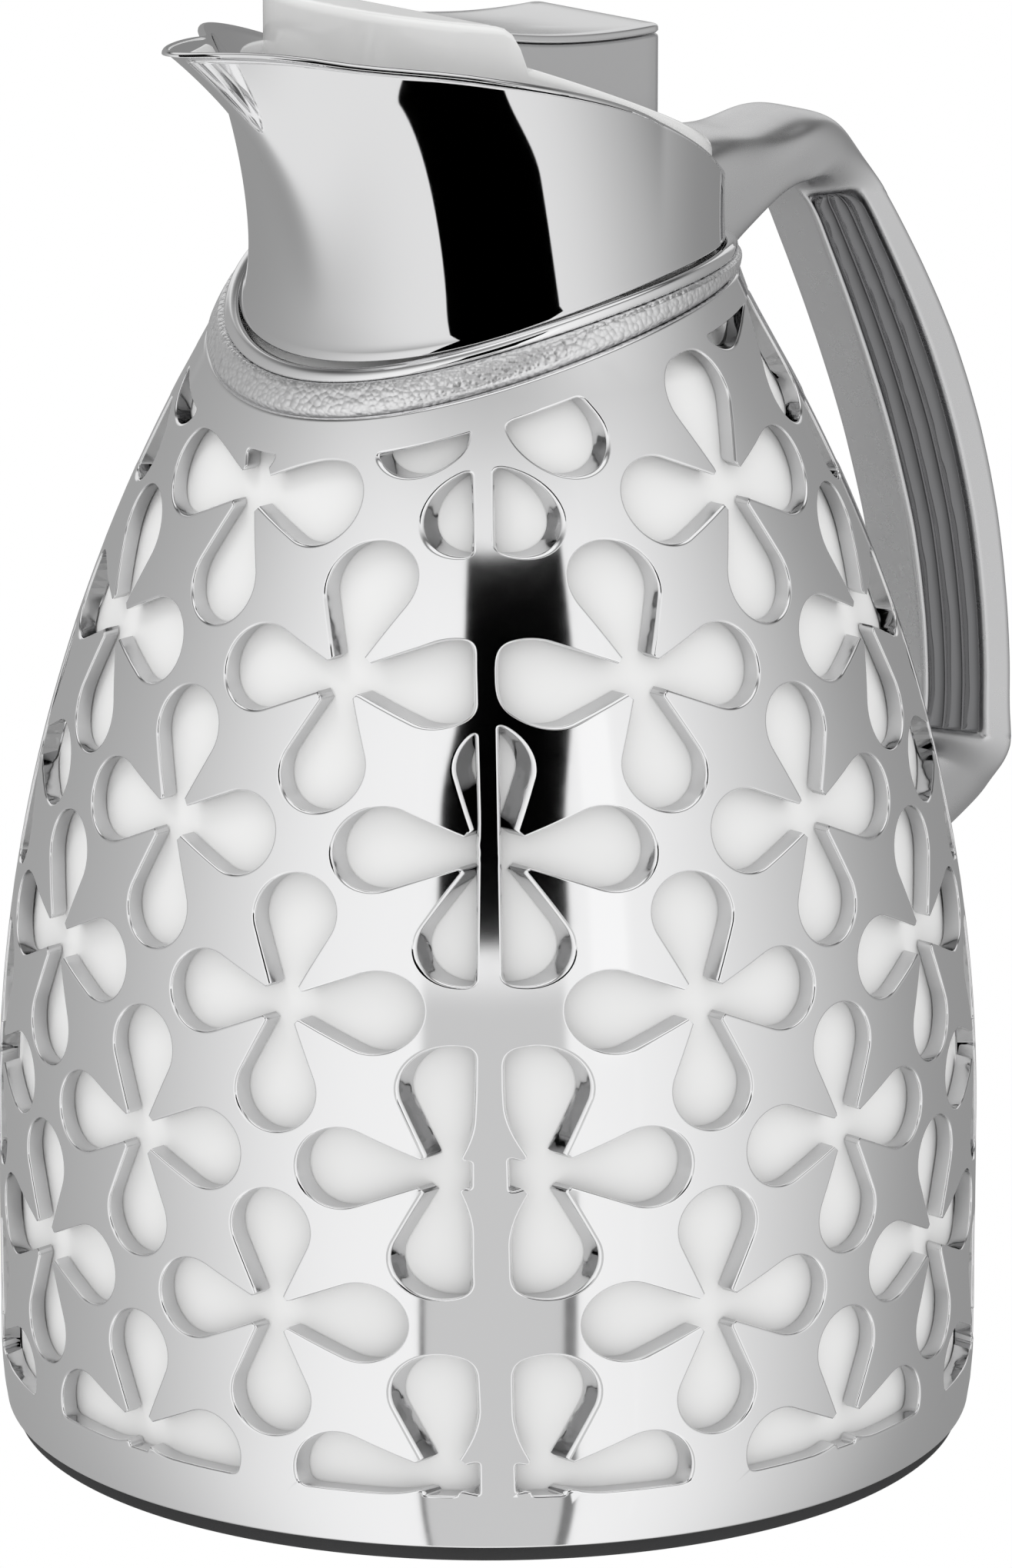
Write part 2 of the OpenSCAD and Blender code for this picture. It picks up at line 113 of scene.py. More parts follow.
def ease(t: np.ndarray) -> np.ndarray:
    """Returns a rise from 0 to 1 with its ends made soft."""
    return t * t * (3 - 2 * t)


def marks(steps: np.ndarray) -> np.ndarray:
    """Returns the distance along a line of each point, from the steps between them."""
    return np.concatenate([[0], np.cumsum(steps)])


def sampled(line: np.ndarray, at: np.ndarray, distance: np.ndarray) -> np.ndarray:
    """Returns points of a line at some distances along it."""
    return np.stack([np.interp(at, distance, line[:, k]) for k in (0, 1)], 1)


def split_sides(corners: np.ndarray, longest: float) -> np.ndarray:
    """Returns a closed outline whose sides are split into steps of about a length.

    Args:
        corners: The outline's corners, in order.
        longest: About how long a step may be.

    Returns:
        The outline with its new points.
    """
    dense = []
    for p, q in zip(corners, np.roll(corners, -1, 0)):
        n = max(1, int(np.hypot(*(q - p)) / longest))
        dense += [p + (q - p) * k / n for k in range(n)]
    return np.array(dense)


def make_object(name: str, points: np.ndarray, faces: Sequence[Sequence[int]]) -> bpy.types.Object:
    """Makes a smooth-shaded mesh object from points in millimetres.

    Args:
        name: The object's name.
        points: Corner places, one row each, in millimetres.
        faces: Corner numbers of each face, in the order that points outwards.

    Returns:
        The new object, at the origin.
    """
    mesh = bpy.data.meshes.new(name)
    mesh.from_pydata((np.asarray(points, float) * MM).tolist(), [], [tuple(int(i) for i in f) for f in faces])
    mesh.validate()
    mesh.polygons.foreach_set("use_smooth", [True] * len(mesh.polygons))
    mesh.update()
    obj = bpy.data.objects.new(name, mesh)
    bpy.context.scene.collection.objects.link(obj)
    return obj


def loft(rings: Sequence[np.ndarray], closed: bool = True) -> tuple[np.ndarray, list]:
    """Joins rings of equal length into a skin.

    Args:
        rings: Arrays of points, each one ring.
        closed: Whether the last ring joins the first. If not, both end rings are capped.

    Returns:
        The points and the faces.
    """
    n, m = len(rings), len(rings[0])
    pts = np.vstack(rings)
    faces = []
    for i in range(n if closed else n - 1):
        k = (i + 1) % n
        for j in range(m):
            l = (j + 1) % m
            faces.append((i * m + j, i * m + l, k * m + l, k * m + j))
    if not closed:
        for i, flip in ((0, True), (n - 1, False)):
            pts = np.vstack([pts, rings[i].mean(0)])
            c = len(pts) - 1
            for j in range(m):
                a, b = i * m + j, i * m + (j + 1) % m
                faces.append((b, a, c) if flip else (a, b, c))
    return pts, faces


def face_out(obj: bpy.types.Object) -> bpy.types.Object:
    """Merges doubled corners and turns every face of a closed mesh outwards.

    Args:
        obj: The object, changed in place.

    Returns:
        The same object.
    """
    bm = bmesh.new()
    bm.from_mesh(obj.data)
    bmesh.ops.remove_doubles(bm, verts=bm.verts, dist=MERGE_M)
    bmesh.ops.recalc_face_normals(bm, faces=bm.faces)
    bm.to_mesh(obj.data)
    bm.free()
    obj.data.update()
    return obj


def baked(obj: bpy.types.Object) -> bpy.types.Object:
    """Turns an object's modifiers into plain mesh and removes them.

    Args:
        obj: The object, changed in place.

    Returns:
        The same object.
    """
    deps = bpy.context.evaluated_depsgraph_get()
    mesh = bpy.data.meshes.new_from_object(obj.evaluated_get(deps))
    obj.modifiers.clear()
    old = obj.data
    obj.data = mesh
    bpy.data.meshes.remove(old)
    return obj


def revolve(name: str, outline: Sequence[Sequence[float]], steps: int = 160) -> bpy.types.Object:
    """Turns a closed outline of (radius, height) pairs about Z.

    Args:
        name: The object's name.
        outline: The outline, in millimetres.
        steps: Steps round the axis.

    Returns:
        The new object.
    """
    line = np.array(outline, float)
    return face_out(make_object(name, *loft([polar(line[:, 0], a, line[:, 1]) for a in around(steps)])))


def rounded(points: Sequence[Sequence[float]], radius: float, steps: int = 5) -> np.ndarray:
    """Rounds the corners of a closed outline.

    Args:
        points: The outline's corners.
        radius: Distance from each corner at which its curve starts, less on short sides.
        steps: Points across each corner.

    Returns:
        The rounded outline.
    """
    p = np.array(points, float)
    out = []
    for i in range(len(p)):
        a, b, c = p[i - 1], p[i], p[(i + 1) % len(p)]
        la, lc = np.linalg.norm(a - b), np.linalg.norm(c - b)
        r = min(radius, 0.45 * la, 0.45 * lc)
        s, e = b + (a - b) / la * r, b + (c - b) / lc * r
        for t in np.linspace(0, 1, steps):
            out.append((1 - t) ** 2 * s + 2 * t * (1 - t) * b + t**2 * e)
    return np.array(out)


# ---- distance fields and outlines ----------------------------------------


def smooth_min(a: np.ndarray, b: np.ndarray, k: float) -> np.ndarray:
    """Returns the smaller of two distances, with the corner between them rounded over k."""
    h = np.maximum(k - np.abs(a - b), 0) / k
    return np.minimum(a, b) - h * h * k / 4


def smooth_max(a: np.ndarray, b: np.ndarray, k: float) -> np.ndarray:
    """Returns the larger of two distances, with the corner between them rounded over k."""
    return -smooth_min(-a, -b, k)


def level_lines(f: np.ndarray, least_points: int = 8) -> list[np.ndarray]:
    """Traces the closed zero lines of a grid of values.

    Args:
        f: The grid, positive along its border.
        least_points: Lines of no more points than this are left out.

    Returns:
        Closed lines of (row, column) places.
    """
    inside = f < 0
    cells: dict[tuple, list] = {}

    def cut(i: int, j: int, k: int, l: int) -> tuple:
        """Returns the place where the zero line crosses one grid edge."""
        t = f[i, j] / (f[i, j] - f[k, l])
        return (i + (k - i) * t, j + (l - j) * t)

    total = inside[:-1, :-1].astype(int) + inside[1:, :-1] + inside[:-1, 1:] + inside[1:, 1:]
    places: dict[tuple, tuple] = {}
    for i, j in zip(*np.nonzero((total > 0) & (total < 4))):
        corners = [(i, j), (i, j + 1), (i + 1, j + 1), (i + 1, j)]
        crossed = []
        for n in range(4):
            a, b = corners[n], corners[(n + 1) % 4]
            if inside[a] != inside[b]:
                key = (a, b) if a < b else (b, a)
                places[key] = cut(*key[0], *key[1])
                crossed.append(key)
        if len(crossed) == 4 and not inside[i, j]:
            crossed = crossed[1:] + crossed[:1]
        for a, b in zip(crossed[::2], crossed[1::2]):
            cells.setdefault(a, []).append(b)
            cells.setdefault(b, []).append(a)
    lines, seen = [], set()
    for start in cells:
        if start in seen:
            continue
        line, here, last = [], start, None
        while here not in seen:
            seen.add(here)
            line.append(places[here])
            ahead = [k for k in cells[here] if k != last and k not in seen]
            last, here = here, ahead[0] if ahead else here
        if len(line) > least_points:
            lines.append(np.array(line))
    return lines


def thinned(p: np.ndarray, tolerance: float, longest: float) -> np.ndarray:
    """Drops points of a closed line that lie within a tolerance of their neighbours' chord.

    Args:
        p: The closed line.
        tolerance: Largest distance that a dropped point may lie from the chord.
        longest: Largest distance between kept points.

    Returns:
        The thinned line.
    """
    n = len(p)
    q = np.vstack([p, p[:1]])
    kept = [0]
    i = 0
    while i < n:
        j = i + 1
        while j < n:
            k = j + 1
            d = q[k] - q[i]
            length = math.hypot(*d)
            if length > longest:
                break
            m = q[i + 1:k] - q[i]
            off = np.abs(m[:, 0] * d[1] - m[:, 1] * d[0]) / max(length, 1e-9)
            if off.max() > tolerance:
                break
            j = k
        kept.append(j)
        i = j
    return q[kept[:-1]] if kept[-1] >= n else q[kept]


def without_spikes(p: np.ndarray, least: float = 0.2, passes: int = 3) -> np.ndarray:
    """Drops points of a closed line where it doubles back on itself.

    Args:
        p: The closed line.
        least: Smallest cosine between one step and the next that is kept.
        passes: How often the whole line is gone through.

    Returns:
        The cleaned line.
    """
    for _ in range(passes):
        before, after = p - np.roll(p, 1, 0), np.roll(p, -1, 0) - p
        size = np.linalg.norm(before, axis=1) * np.linalg.norm(after, axis=1)
        keep = np.sum(before * after, 1) > least * np.maximum(size, 1e-9)
        p = p[keep]
    return p


# ---- the jug's skin and casing -------------------------------------------


@dataclass(frozen=True)
class Skin:
    """The jug's outer skin: straight barrel, shoulder arc and neck, in millimetres."""

    body_r: float = 80.0
    barrel_h: float = 50.0
    shoulder_r: float = 264.0
    neck_r: float = 39.5
    blend: float = 2.5
    tuck: float = 1.5
    tuck_h: float = 12.0

    def radius(self, z: np.ndarray) -> np.ndarray:
        """Returns the skin's radius at heights z.

        Args:
            z: Heights.

        Returns:
            A radius for each height.
        """
        z = np.asarray(z, float)
        up = np.maximum(z - self.barrel_h, 0)
        arc = self.body_r - self.shoulder_r + np.sqrt(np.maximum(self.shoulder_r**2 - up**2, 1))
        r = (arc + self.neck_r + np.hypot(arc - self.neck_r, self.blend)) / 2
        low = self.body_r - self.tuck * np.clip(1 - z / self.tuck_h, 0, 1.4) ** 2
        return np.where(z < self.tuck_h, low, r)

    def slope(self, z: np.ndarray) -> np.ndarray:
        """Returns how the radius grows with height at heights z."""
        return (self.radius(np.asarray(z) + 0.05) - self.radius(np.asarray(z) - 0.05)) / 0.1


@dataclass(frozen=True)
class Arc:
    """A sloping edge of the neck: a cylinder along Y that cuts the jug."""

    x: float
    z: float
    r: float

    def height(self, x: np.ndarray) -> np.ndarray:
        """Returns the edge's height above x."""
        return self.z + np.sqrt(self.r**2 - (np.asarray(x) - self.x) ** 2)

    def outside(self, x: np.ndarray, z: np.ndarray) -> np.ndarray:
        """Returns how far points lie outside the arc."""
        return np.hypot(np.asarray(x) - self.x, np.asarray(z) - self.z) - self.r


SKIN = Skin()
LIP_ARC = Arc(18.5, 46.5, 150.5)
BAND_ARC = Arc(32.0, -15.6, 207.7)
NECK_Z = 190.0


def height_on_skin(theta: np.ndarray, line: Callable[[np.ndarray], np.ndarray], steps: int) -> np.ndarray:
    """Returns where the skin crosses a sloping edge, found by moving half of the way at each step.

    Args:
        theta: Azimuths.
        line: The edge's height above x.
        steps: How many steps are taken.

    Returns:
        A height for each azimuth.
    """
    z = np.full(np.shape(theta), NECK_Z)
    for _ in range(steps):
        z = 0.5 * z + 0.5 * line(SKIN.radius(z) * np.cos(theta))
    return z


@dataclass(frozen=True)
class Edge:
    """A rounded edge between the casing's two surfaces.

    Its rings run from the outer surface to the inner one, and wall is where its wall faces at
    each point. way is 0 for an opening, 1 for the bottom border and -1 for the top one.
    """

    start: int
    rings: list
    wall: np.ndarray
    way: int

    def numbers(self) -> list[int]:
        """Returns the numbers of its points on the outer surface."""
        return list(range(self.start, self.start + len(self.wall)))


@dataclass
class Shell:
    """Matching points of the casing's two surfaces, the edges between them, and the faces."""

    outer: list = field(default_factory=list)
    inner: list = field(default_factory=list)
    edges: list = field(default_factory=list)
    faces: list = field(default_factory=list)
    normals: list = field(default_factory=list)
    count: int = 0

    def add(self, outer: np.ndarray, inner: np.ndarray) -> int:
        """Adds matching points and returns the number of the first one.

        Args:
            outer: Points on the outer face.
            inner: Their partners on the inner face.

        Returns:
            The first point's number.
        """
        self.outer.append(outer)
        self.inner.append(inner)
        self.count += len(outer)
        return self.count - len(outer)

    def add_edge(self, rings: list, wall: np.ndarray, way: int = 0) -> int:
        """Adds an edge and returns the number of its first point.

        Args:
            rings: Its rings, from the outer surface to the inner one.
            wall: Where its wall faces at each point.
            way: 0 for an opening, 1 for the bottom border, -1 for the top one.

        Returns:
            The first point's number.
        """
        start = self.add(rings[0], rings[-1])
        self.edges.append(Edge(start, rings, wall, way))
        return start

    def add_face(self, corners: Sequence[int], normals: Sequence[np.ndarray]) -> None:
        """Adds a face, with the direction that each of its corners is shaded in."""
        self.faces.append(corners)
        self.normals.append(np.array(normals))


@dataclass
class OpenworkCasing:
    """The bright outer casing with its rows of four-petalled flowers between leaning ribs."""

    wall: float = 3.0
    foot_z: float = 2.6
    edge: float = 0.45
    bends: tuple = (0.0, 0.5, 1.05, QUARTER)
    petal_len: float = 20.8
    petal_r: float = 6.9
    petal_neck: float = 1.2
    columns: tuple = (0.0, 25.6, 50.1)
    rows: int = 8
    row_z: float = 14.6
    row_step: float = 25.04
    turn: float = math.radians(-0.43)
    plain_band: float = 11.2
    top_rim: float = 3.8
    cell: float = 0.3
    tip: float = 1.4
    heart: float = 0.5
    rib_tilt: float = 0.75
    least_hole: float = 12.0
    tolerance: float = 0.012
    longest: float = 3.0
    grid_u: tuple = (-58.0, 58.1)
    grid_z: tuple = (8.0, 196.0)
    border_steps: int = 181
    side_z: tuple = (6.0, 186.0)
    side_step: float = 3.0
    loose_z: tuple = (6.0, 190.0)
    loose_step: float = 3.8
    loose_columns: int = 131
    loose_gap: float = 1.3
    side_gap: float = 1.5
    border_gap: float = 2.0
    corner_turn: float = 0.8
    sector_half: float = math.radians(46.5)
    unrolled_r: float = 60.0
    far: float = 99.0
    rib_heights: tuple = (11, 26, 50, 66, 78, 120, 142, 165, 190)
    rib_middles: tuple = (0.55, 0.2, -0.55, -0.75, -0.8, -0.8, -1.25, -1.45, -1.7)
    rib_halves: tuple = (2.45, 2.3, 2.65, 2.45, 1.8, 1.2, 1.3, 1.15, 1.4)
    # Faces of the openings' walls, which get a darker copy of the chrome as painted shade.
    dark: list = field(default_factory=list)

    def rib(self, z: np.ndarray) -> tuple[np.ndarray, np.ndarray]:
        """Returns the sideways middle and half width of a rib at heights z."""
        middle, half = (np.interp(z, self.rib_heights, v) for v in (self.rib_middles, self.rib_halves))
        return middle, half

    def petal_field(self, along: np.ndarray, across: np.ndarray) -> np.ndarray:
        """Returns the distance to a petal that widens from the flower's centre, negative inside.

        Args:
            along: Distance along the petal.
            across: Distance beside its middle line.

        Returns:
            The distance to its outline.
        """
        h = self.petal_len - self.petal_r
        b = (self.petal_neck - self.petal_r) / h
        a = math.sqrt(1 - b * b)
        k = -b * across + a * along
        mid = a * across + b * along - self.petal_neck
        near = np.hypot(across, along) - self.petal_neck
        far = np.hypot(across, along - h) - self.petal_r
        return np.where(k < 0, near, np.where(k > a * h, far, mid))

    def flowers(self, u: np.ndarray, z: np.ndarray) -> np.ndarray:
        """Returns the distance to the nearest flower in a sector's plane.

        Args:
            u: Distance round the casing.
            z: Height.

        Returns:
            The distance to the petals' outline, negative inside.
        """
        best = np.full(np.shape(u), self.far)
        for k in range(self.rows):
            for c in range(-2, 3):
                if (k + c) % 2:
                    continue
                uc = math.copysign(self.columns[abs(c)], c)
                a, b = np.abs(u - uc), np.abs(z - self.row_z - k * self.row_step)
                both = smooth_min(self.petal_field(a, b), self.petal_field(b, a), self.heart)
                best = np.minimum(best, both)
        return best

    def rib_field(self, u: np.ndarray, z: np.ndarray, depth: float = 0.0) -> tuple[np.ndarray, np.ndarray]:
        """Returns how far u lies past the two ribs, on the left and on the right.

        Args:
            u: Distance round the casing.
            z: Height.
            depth: Distance inside the outer face.

        Returns:
            Both distances, negative between the ribs.
        """
        mid, half = self.rib(z)
        r = SKIN.radius(z) - depth
        slant = math.sqrt(0.5)
        t = mid - half
        right = slant * (np.sqrt(r * r - t * t) + t)
        t = mid + half
        left = slant * (t - np.sqrt(r * r - t * t))
        return (left - u) * self.rib_tilt, (u - right) * self.rib_tilt

    def facing(self, sector: int) -> float:
        """Returns the azimuth of a sector's middle."""
        return sector * QUARTER + self.turn

    def metal(self, u: np.ndarray, z: np.ndarray, sector: int) -> np.ndarray:
        """Returns the distance from the openings, positive in the metal.

        Args:
            u: Distance round the casing from the sector's middle.
            z: Height.
            sector: The sector's number.

        Returns:
            The distance, negative inside an opening.
        """
        left, right = self.rib_field(u, z)
        r = SKIN.radius(z)
        x = np.sqrt(np.maximum(r * r - u * u, 0))
        a = self.facing(sector)
        gx = x * math.cos(a) - u * math.sin(a)
        rim = BAND_ARC.outside(gx, z) + self.top_rim
        clip = np.maximum(np.maximum(left, right), np.maximum(rim, self.plain_band - z))
        return smooth_max(self.flowers(u, z), clip, self.tip)

    def loops(self, sector: int) -> list[np.ndarray]:
        """Finds the outlines of a sector's openings on the skin, outside their rounded edges.

        Args:
            sector: Which quarter of the casing, from 0 at +X.

        Returns:
            Closed outlines of (u, z) points in the sector's plane.
        """
        u, z = np.arange(*self.grid_u, self.cell), np.arange(*self.grid_z, self.cell)
        grid_u, grid_z = np.meshgrid(u, z)
        f = self.metal(grid_u, grid_z, sector)
        out = []
        for line in level_lines(f):
            p = np.stack([u[0] + line[:, 1] * self.cell, z[0] + line[:, 0] * self.cell], 1)
            for _ in range(2):
                g, v = self.gradient(p, sector)
                p = p - g * v[:, None]
            area = 0.5 * np.sum(p[:, 0] * np.roll(p[:, 1], -1) - p[:, 1] * np.roll(p[:, 0], -1))
            if abs(area) < self.least_hole:
                continue
            p = thinned(without_spikes(p), self.tolerance, self.longest)
            out.append(p if area < 0 else p[::-1])
        return out

    def gradient(self, p: np.ndarray, sector: int) -> tuple[np.ndarray, np.ndarray]:
        """Returns the unit gradient of the field at points, and the distance to its zero line.

        Args:
            p: Points of the sector's plane.
            sector: The sector's number.

        Returns:
            The gradients and the distances.
        """
        u, z, e = p[:, 0], p[:, 1], 0.04
        f = self.metal(u, z, sector)
        gu = (self.metal(u + e, z, sector) - self.metal(u - e, z, sector)) / (2 * e)
        gz = (self.metal(u, z + e, sector) - self.metal(u, z - e, sector)) / (2 * e)
        n = np.maximum(np.hypot(gu, gz), 1e-6)
        return np.stack([gu / n, gz / n], 1), f / n

    def place(self, u: np.ndarray, z: np.ndarray, depth: float, sector: int) -> np.ndarray:
        """Returns the places of points of a sector's plane, pushed on to the skin less a depth.

        Args:
            u: Distance round the casing from the sector's middle.
            z: Height.
            depth: Distance inside the outer face.
            sector: The sector's number.

        Returns:
            The points, as (x, y, z) rows.
        """
        r = SKIN.radius(z) - depth
        x = np.sqrt(np.maximum(r * r - u * u, 0.01))
        c, s = math.cos(self.facing(sector)), math.sin(self.facing(sector))
        return np.stack([x * c - u * s, x * s + u * c, z], 1)

    def turns(self) -> np.ndarray:
        """Returns the steps of a border, from one side of the cut to the other."""
        return np.linspace(0, math.tau, self.border_steps)

    def bottom_edge(self, theta: np.ndarray) -> np.ndarray:
        """Returns the height of the casing's bottom edge at azimuths theta."""
        return np.full(np.shape(theta), self.foot_z)

    def top_edge(self, theta: np.ndarray) -> np.ndarray:
        """Returns the height of the casing's top edge at azimuths theta."""
        return height_on_skin(theta, BAND_ARC.height, 60)

    def wrap(self, z: np.ndarray) -> np.ndarray:
        """Returns the azimuth of the middle of the rib where the skin is cut open."""
        mid, _ = self.rib(z)
        return QUARTER / 2 + self.turn + mid / SKIN.radius(z)

    def section(self) -> list[tuple[float, float]]:
        """Returns how far each ring of an edge lies beside the edge and below the skin."""
        bend = [(self.edge * (1 - math.sin(a)), self.edge * (1 - math.cos(a))) for a in self.bends]
        return bend + [(0.0, self.wall)]

    def add_opening(self, shell: Shell, p: np.ndarray, sector: int) -> None:
        """Adds the edge of one opening, whose wall stands square to its sector's middle.

        Args:
            shell: The shell to add it to.
            p: The opening's outline.
            sector: The outline's sector.
        """
        a = self.facing(sector)
        g, _ = self.gradient(p, sector)
        left, right = self.rib_field(p[:, 0], p[:, 1])
        flower = self.flowers(p[:, 0], p[:, 1])
        c = self.corner_turn
        on_left, on_right = (ramp(rib - flower, -c / 2, c) for rib in (left, right))
        rings = []
        for away, depth in self.section():
            q = p + g * (away - self.edge)
            deep_left, deep_right = self.rib_field(p[:, 0], p[:, 1], depth)
            shift = (on_right * (right - deep_right) - on_left * (left - deep_left)) / self.rib_tilt
            rings.append(self.place(q[:, 0] + shift, q[:, 1], depth, sector))
        shell.add_edge(rings, np.stack([g[:, 0] * math.sin(a), -g[:, 0] * math.cos(a), -g[:, 1]], 1))

    def add_border(self, shell: Shell, way: int) -> int:
        """Adds a border from one side of the cut round to the other.

        Args:
            shell: The shell to add it to.
            way: 1 for the bottom border, -1 for the top one.

        Returns:
            The number of its first point.
        """
        height = self.bottom_edge if way > 0 else self.top_edge
        theta = self.wrap(height(np.array([0.8])))[0] - math.tau + self.turns()
        rings = []
        for away, depth in self.section():
            z = height(theta) + way * away
            rings.append(polar(SKIN.radius(z) - depth, theta, z))
        if way > 0:
            wall = np.tile([0.0, 0.0, -1.0], (len(theta), 1))
        else:
            p = rings[0]
            wall = unit(np.stack([p[:, 0] - BAND_ARC.x, 0 * theta, p[:, 2] - BAND_ARC.z], 1))
        return shell.add_edge(rings, wall, way)

    def add_sides(self, shell: Shell) -> tuple[int, int, int]:
        """Adds both sides of the cut below the top border, and returns their first numbers and size.

        Args:
            shell: The mesh so far.

        Returns:
            The first numbers of both sides and the count of each side's points.
        """
        z = np.arange(*self.side_z, self.side_step)
        z = z[z < shell.edges[-1].rings[0][0, 2] - self.side_gap]
        theta = self.wrap(z) - math.tau
        side = [polar(SKIN.radius(z) - depth, theta, z) for depth in (0, self.wall)]
        return shell.add(*side), shell.add(*side), len(z)

    def add_loose(self, shell: Shell) -> None:
        """Adds loose points that carry the curve between the openings.

        Args:
            shell: The mesh so far.
        """
        columns = np.linspace(0, math.tau, self.loose_columns)
        turn, z = np.meshgrid(columns[1:-1], np.arange(*self.loose_z, self.loose_step))
        turn[::2] += columns[1] / 2
        turn, z = turn.ravel(), z.ravel()
        inside = turn < math.tau - 0.03
        turn, z = turn[inside], z[inside]
        theta, r = turn + self.wrap(z) - math.tau, SKIN.radius(z)
        clear = z < self.top_edge(theta) - self.border_gap
        for sector in range(4):
            off = (theta - self.facing(sector) + math.pi) % math.tau - math.pi
            elsewhere = np.abs(off) >= self.sector_half
            clear &= elsewhere | (self.metal(r * np.sin(off), z, sector) > self.loose_gap)
        theta, z, r = theta[clear], z[clear], r[clear]
        shell.add(polar(r, theta, z), polar(r - self.wall, theta, z))

    def build(self) -> bpy.types.Object:
        """Builds the casing as one closed shell.

        The outer surface is unrolled, filled with triangles between its edges, and closed again
        at the cut. The inner surface follows it, and the edges' walls join the two.

        Returns:
            The casing object.
        """
        shell = Shell()
        for sector in range(4):
            for line in self.loops(sector):
                self.add_opening(shell, line, sector)
        openings = list(shell.edges)
        low, high = self.add_border(shell, 1), self.add_border(shell, -1)
        left, right, sides = self.add_sides(shell)
        self.add_loose(shell)
        out, steps, turns = np.vstack(shell.outer), self.border_steps, self.turns()
        across = (np.arctan2(out[:, 1], out[:, 0]) - self.wrap(out[:, 2])) % math.tau
        across[low:low + steps] = turns
        across[high:high + steps] = turns
        across[left:left + sides] = 0.0
        across[right:right + sides] = math.tau
        flat = np.stack([across * self.unrolled_r, out[:, 2]], 1)
        rim = [*range(low, low + steps), *range(right, right + sides)]
        rim += [*range(high + steps - 1, high - 1, -1), *range(left + sides - 1, left - 1, -1)]
        bounds = [rim] + [hole.numbers()[::-1] for hole in openings]
        res = delaunay_2d_cdt([Vector(p) for p in flat.tolist()], [], bounds, 1, 1e-5)
        number = np.arange(len(out))
        number[low + steps - 1], number[high + steps - 1] = low, high
        number[right:right + sides] = np.arange(left, left + sides)
        flat_way = out[:, :2] / np.hypot(*out[:, :2].T)[:, None]
        normal = unit(np.column_stack([flat_way, -SKIN.slope(out[:, 2])]))
        source = [o[0] if o else -1 for o in res[3]]
        for tri, orig in zip(res[2], res[5]):
            ids = [number[source[i]] for i in tri]
            if list(orig) == [0] and min(source[i] for i in tri) >= 0 and len(set(ids)) == 3:
                shell.add_face(ids, normal[ids])
                shell.add_face([i + len(out) for i in ids[::-1]], -normal[ids[::-1]])
        between = self.join(shell, number, normal)
        obj = make_object("openwork_casing", np.vstack([out, *shell.inner, *between]), shell.faces)
        obj.data.normals_split_custom_set(np.vstack(shell.normals).tolist())
        LOG.info("openwork casing: %d openings, %d faces", len(openings), len(shell.faces))
        return obj

    def join(self, shell: Shell, number: np.ndarray, normal: np.ndarray) -> list[np.ndarray]:
        """Adds the faces of every edge, and notes which faces are the openings' walls, which get painted
        shade.

        Args:
            shell: The shell, with its surfaces' faces.
            number: The number that each outer point goes by once the cut is closed.
            normal: The outer points' directions.

        Returns:
            The points between the two surfaces.
        """
        between, at = [], 2 * len(number)
        for edge in shell.edges:
            own = np.array(edge.numbers())
            layers = [number[own]]
            for ring in edge.rings[1:-1]:
                ids = at + np.arange(len(own))
                if edge.way:
                    ids[-1] = ids[0]
                layers.append(ids)
                between.append(ring)
                at += len(own)
            layers.append(number[own] + len(number))
            tilts = [unit(math.cos(a) * normal[own] + math.sin(a) * edge.wall) for a in self.bends]
            tilts.append(tilts[-1])
            order = list(range(len(own)))[::edge.way or 1] + ([] if edge.way else [0])
            for k in range(len(layers) - 1):
                for i, j in zip(order[:-1], order[1:]):
                    # The walls' faces are noted here for the darker chrome copy that paints their shade.
                    if not edge.way and k == len(layers) - 2:
                        self.dark.append(len(shell.faces))
                    ends = ((k, j), (k, i), (k + 1, i), (k + 1, j))
                    shell.add_face([layers[a][b] for a, b in ends], [tilts[a][b] for a, b in ends])
        return between

    def dress(self) -> None:
        """Adds the casing, with a darker copy of its chrome on its openings' walls as painted shade."""
        piece = finished(self.build(), Body.JUG, Look.CASING_CHROME, "outer_casing")
        # The walls get a darker copy of the chrome: painted shade for their dark reflections.
        refinish(piece, Look.CASING_WALL, self.dark)


# ---- finishes ------------------------------------------------------------


class Sock:
    """A node's output, with arithmetic that adds Math nodes."""

    def __init__(self, kit: "Kit", out: bpy.types.NodeSocket) -> None:
        """Keeps the tree that the output belongs to."""
        self.kit, self.out = kit, out

    def __add__(self, other: object) -> "Sock":
        """Returns self + other."""
        return self.kit.math("ADD", self, other)

    def __radd__(self, other: object) -> "Sock":
        """Returns other + self."""
        return self.kit.math("ADD", other, self)

    def __sub__(self, other: object) -> "Sock":
        """Returns self - other."""
        return self.kit.math("SUBTRACT", self, other)

    def __rsub__(self, other: object) -> "Sock":
        """Returns other - self."""
        return self.kit.math("SUBTRACT", other, self)

    def __mul__(self, other: object) -> "Sock":
        """Returns self * other."""
        return self.kit.math("MULTIPLY", self, other)

    def __rmul__(self, other: object) -> "Sock":
        """Returns other * self."""
        return self.kit.math("MULTIPLY", other, self)

    def __pow__(self, other: object) -> "Sock":
        """Returns self ** other."""
        return self.kit.math("POWER", self, other)


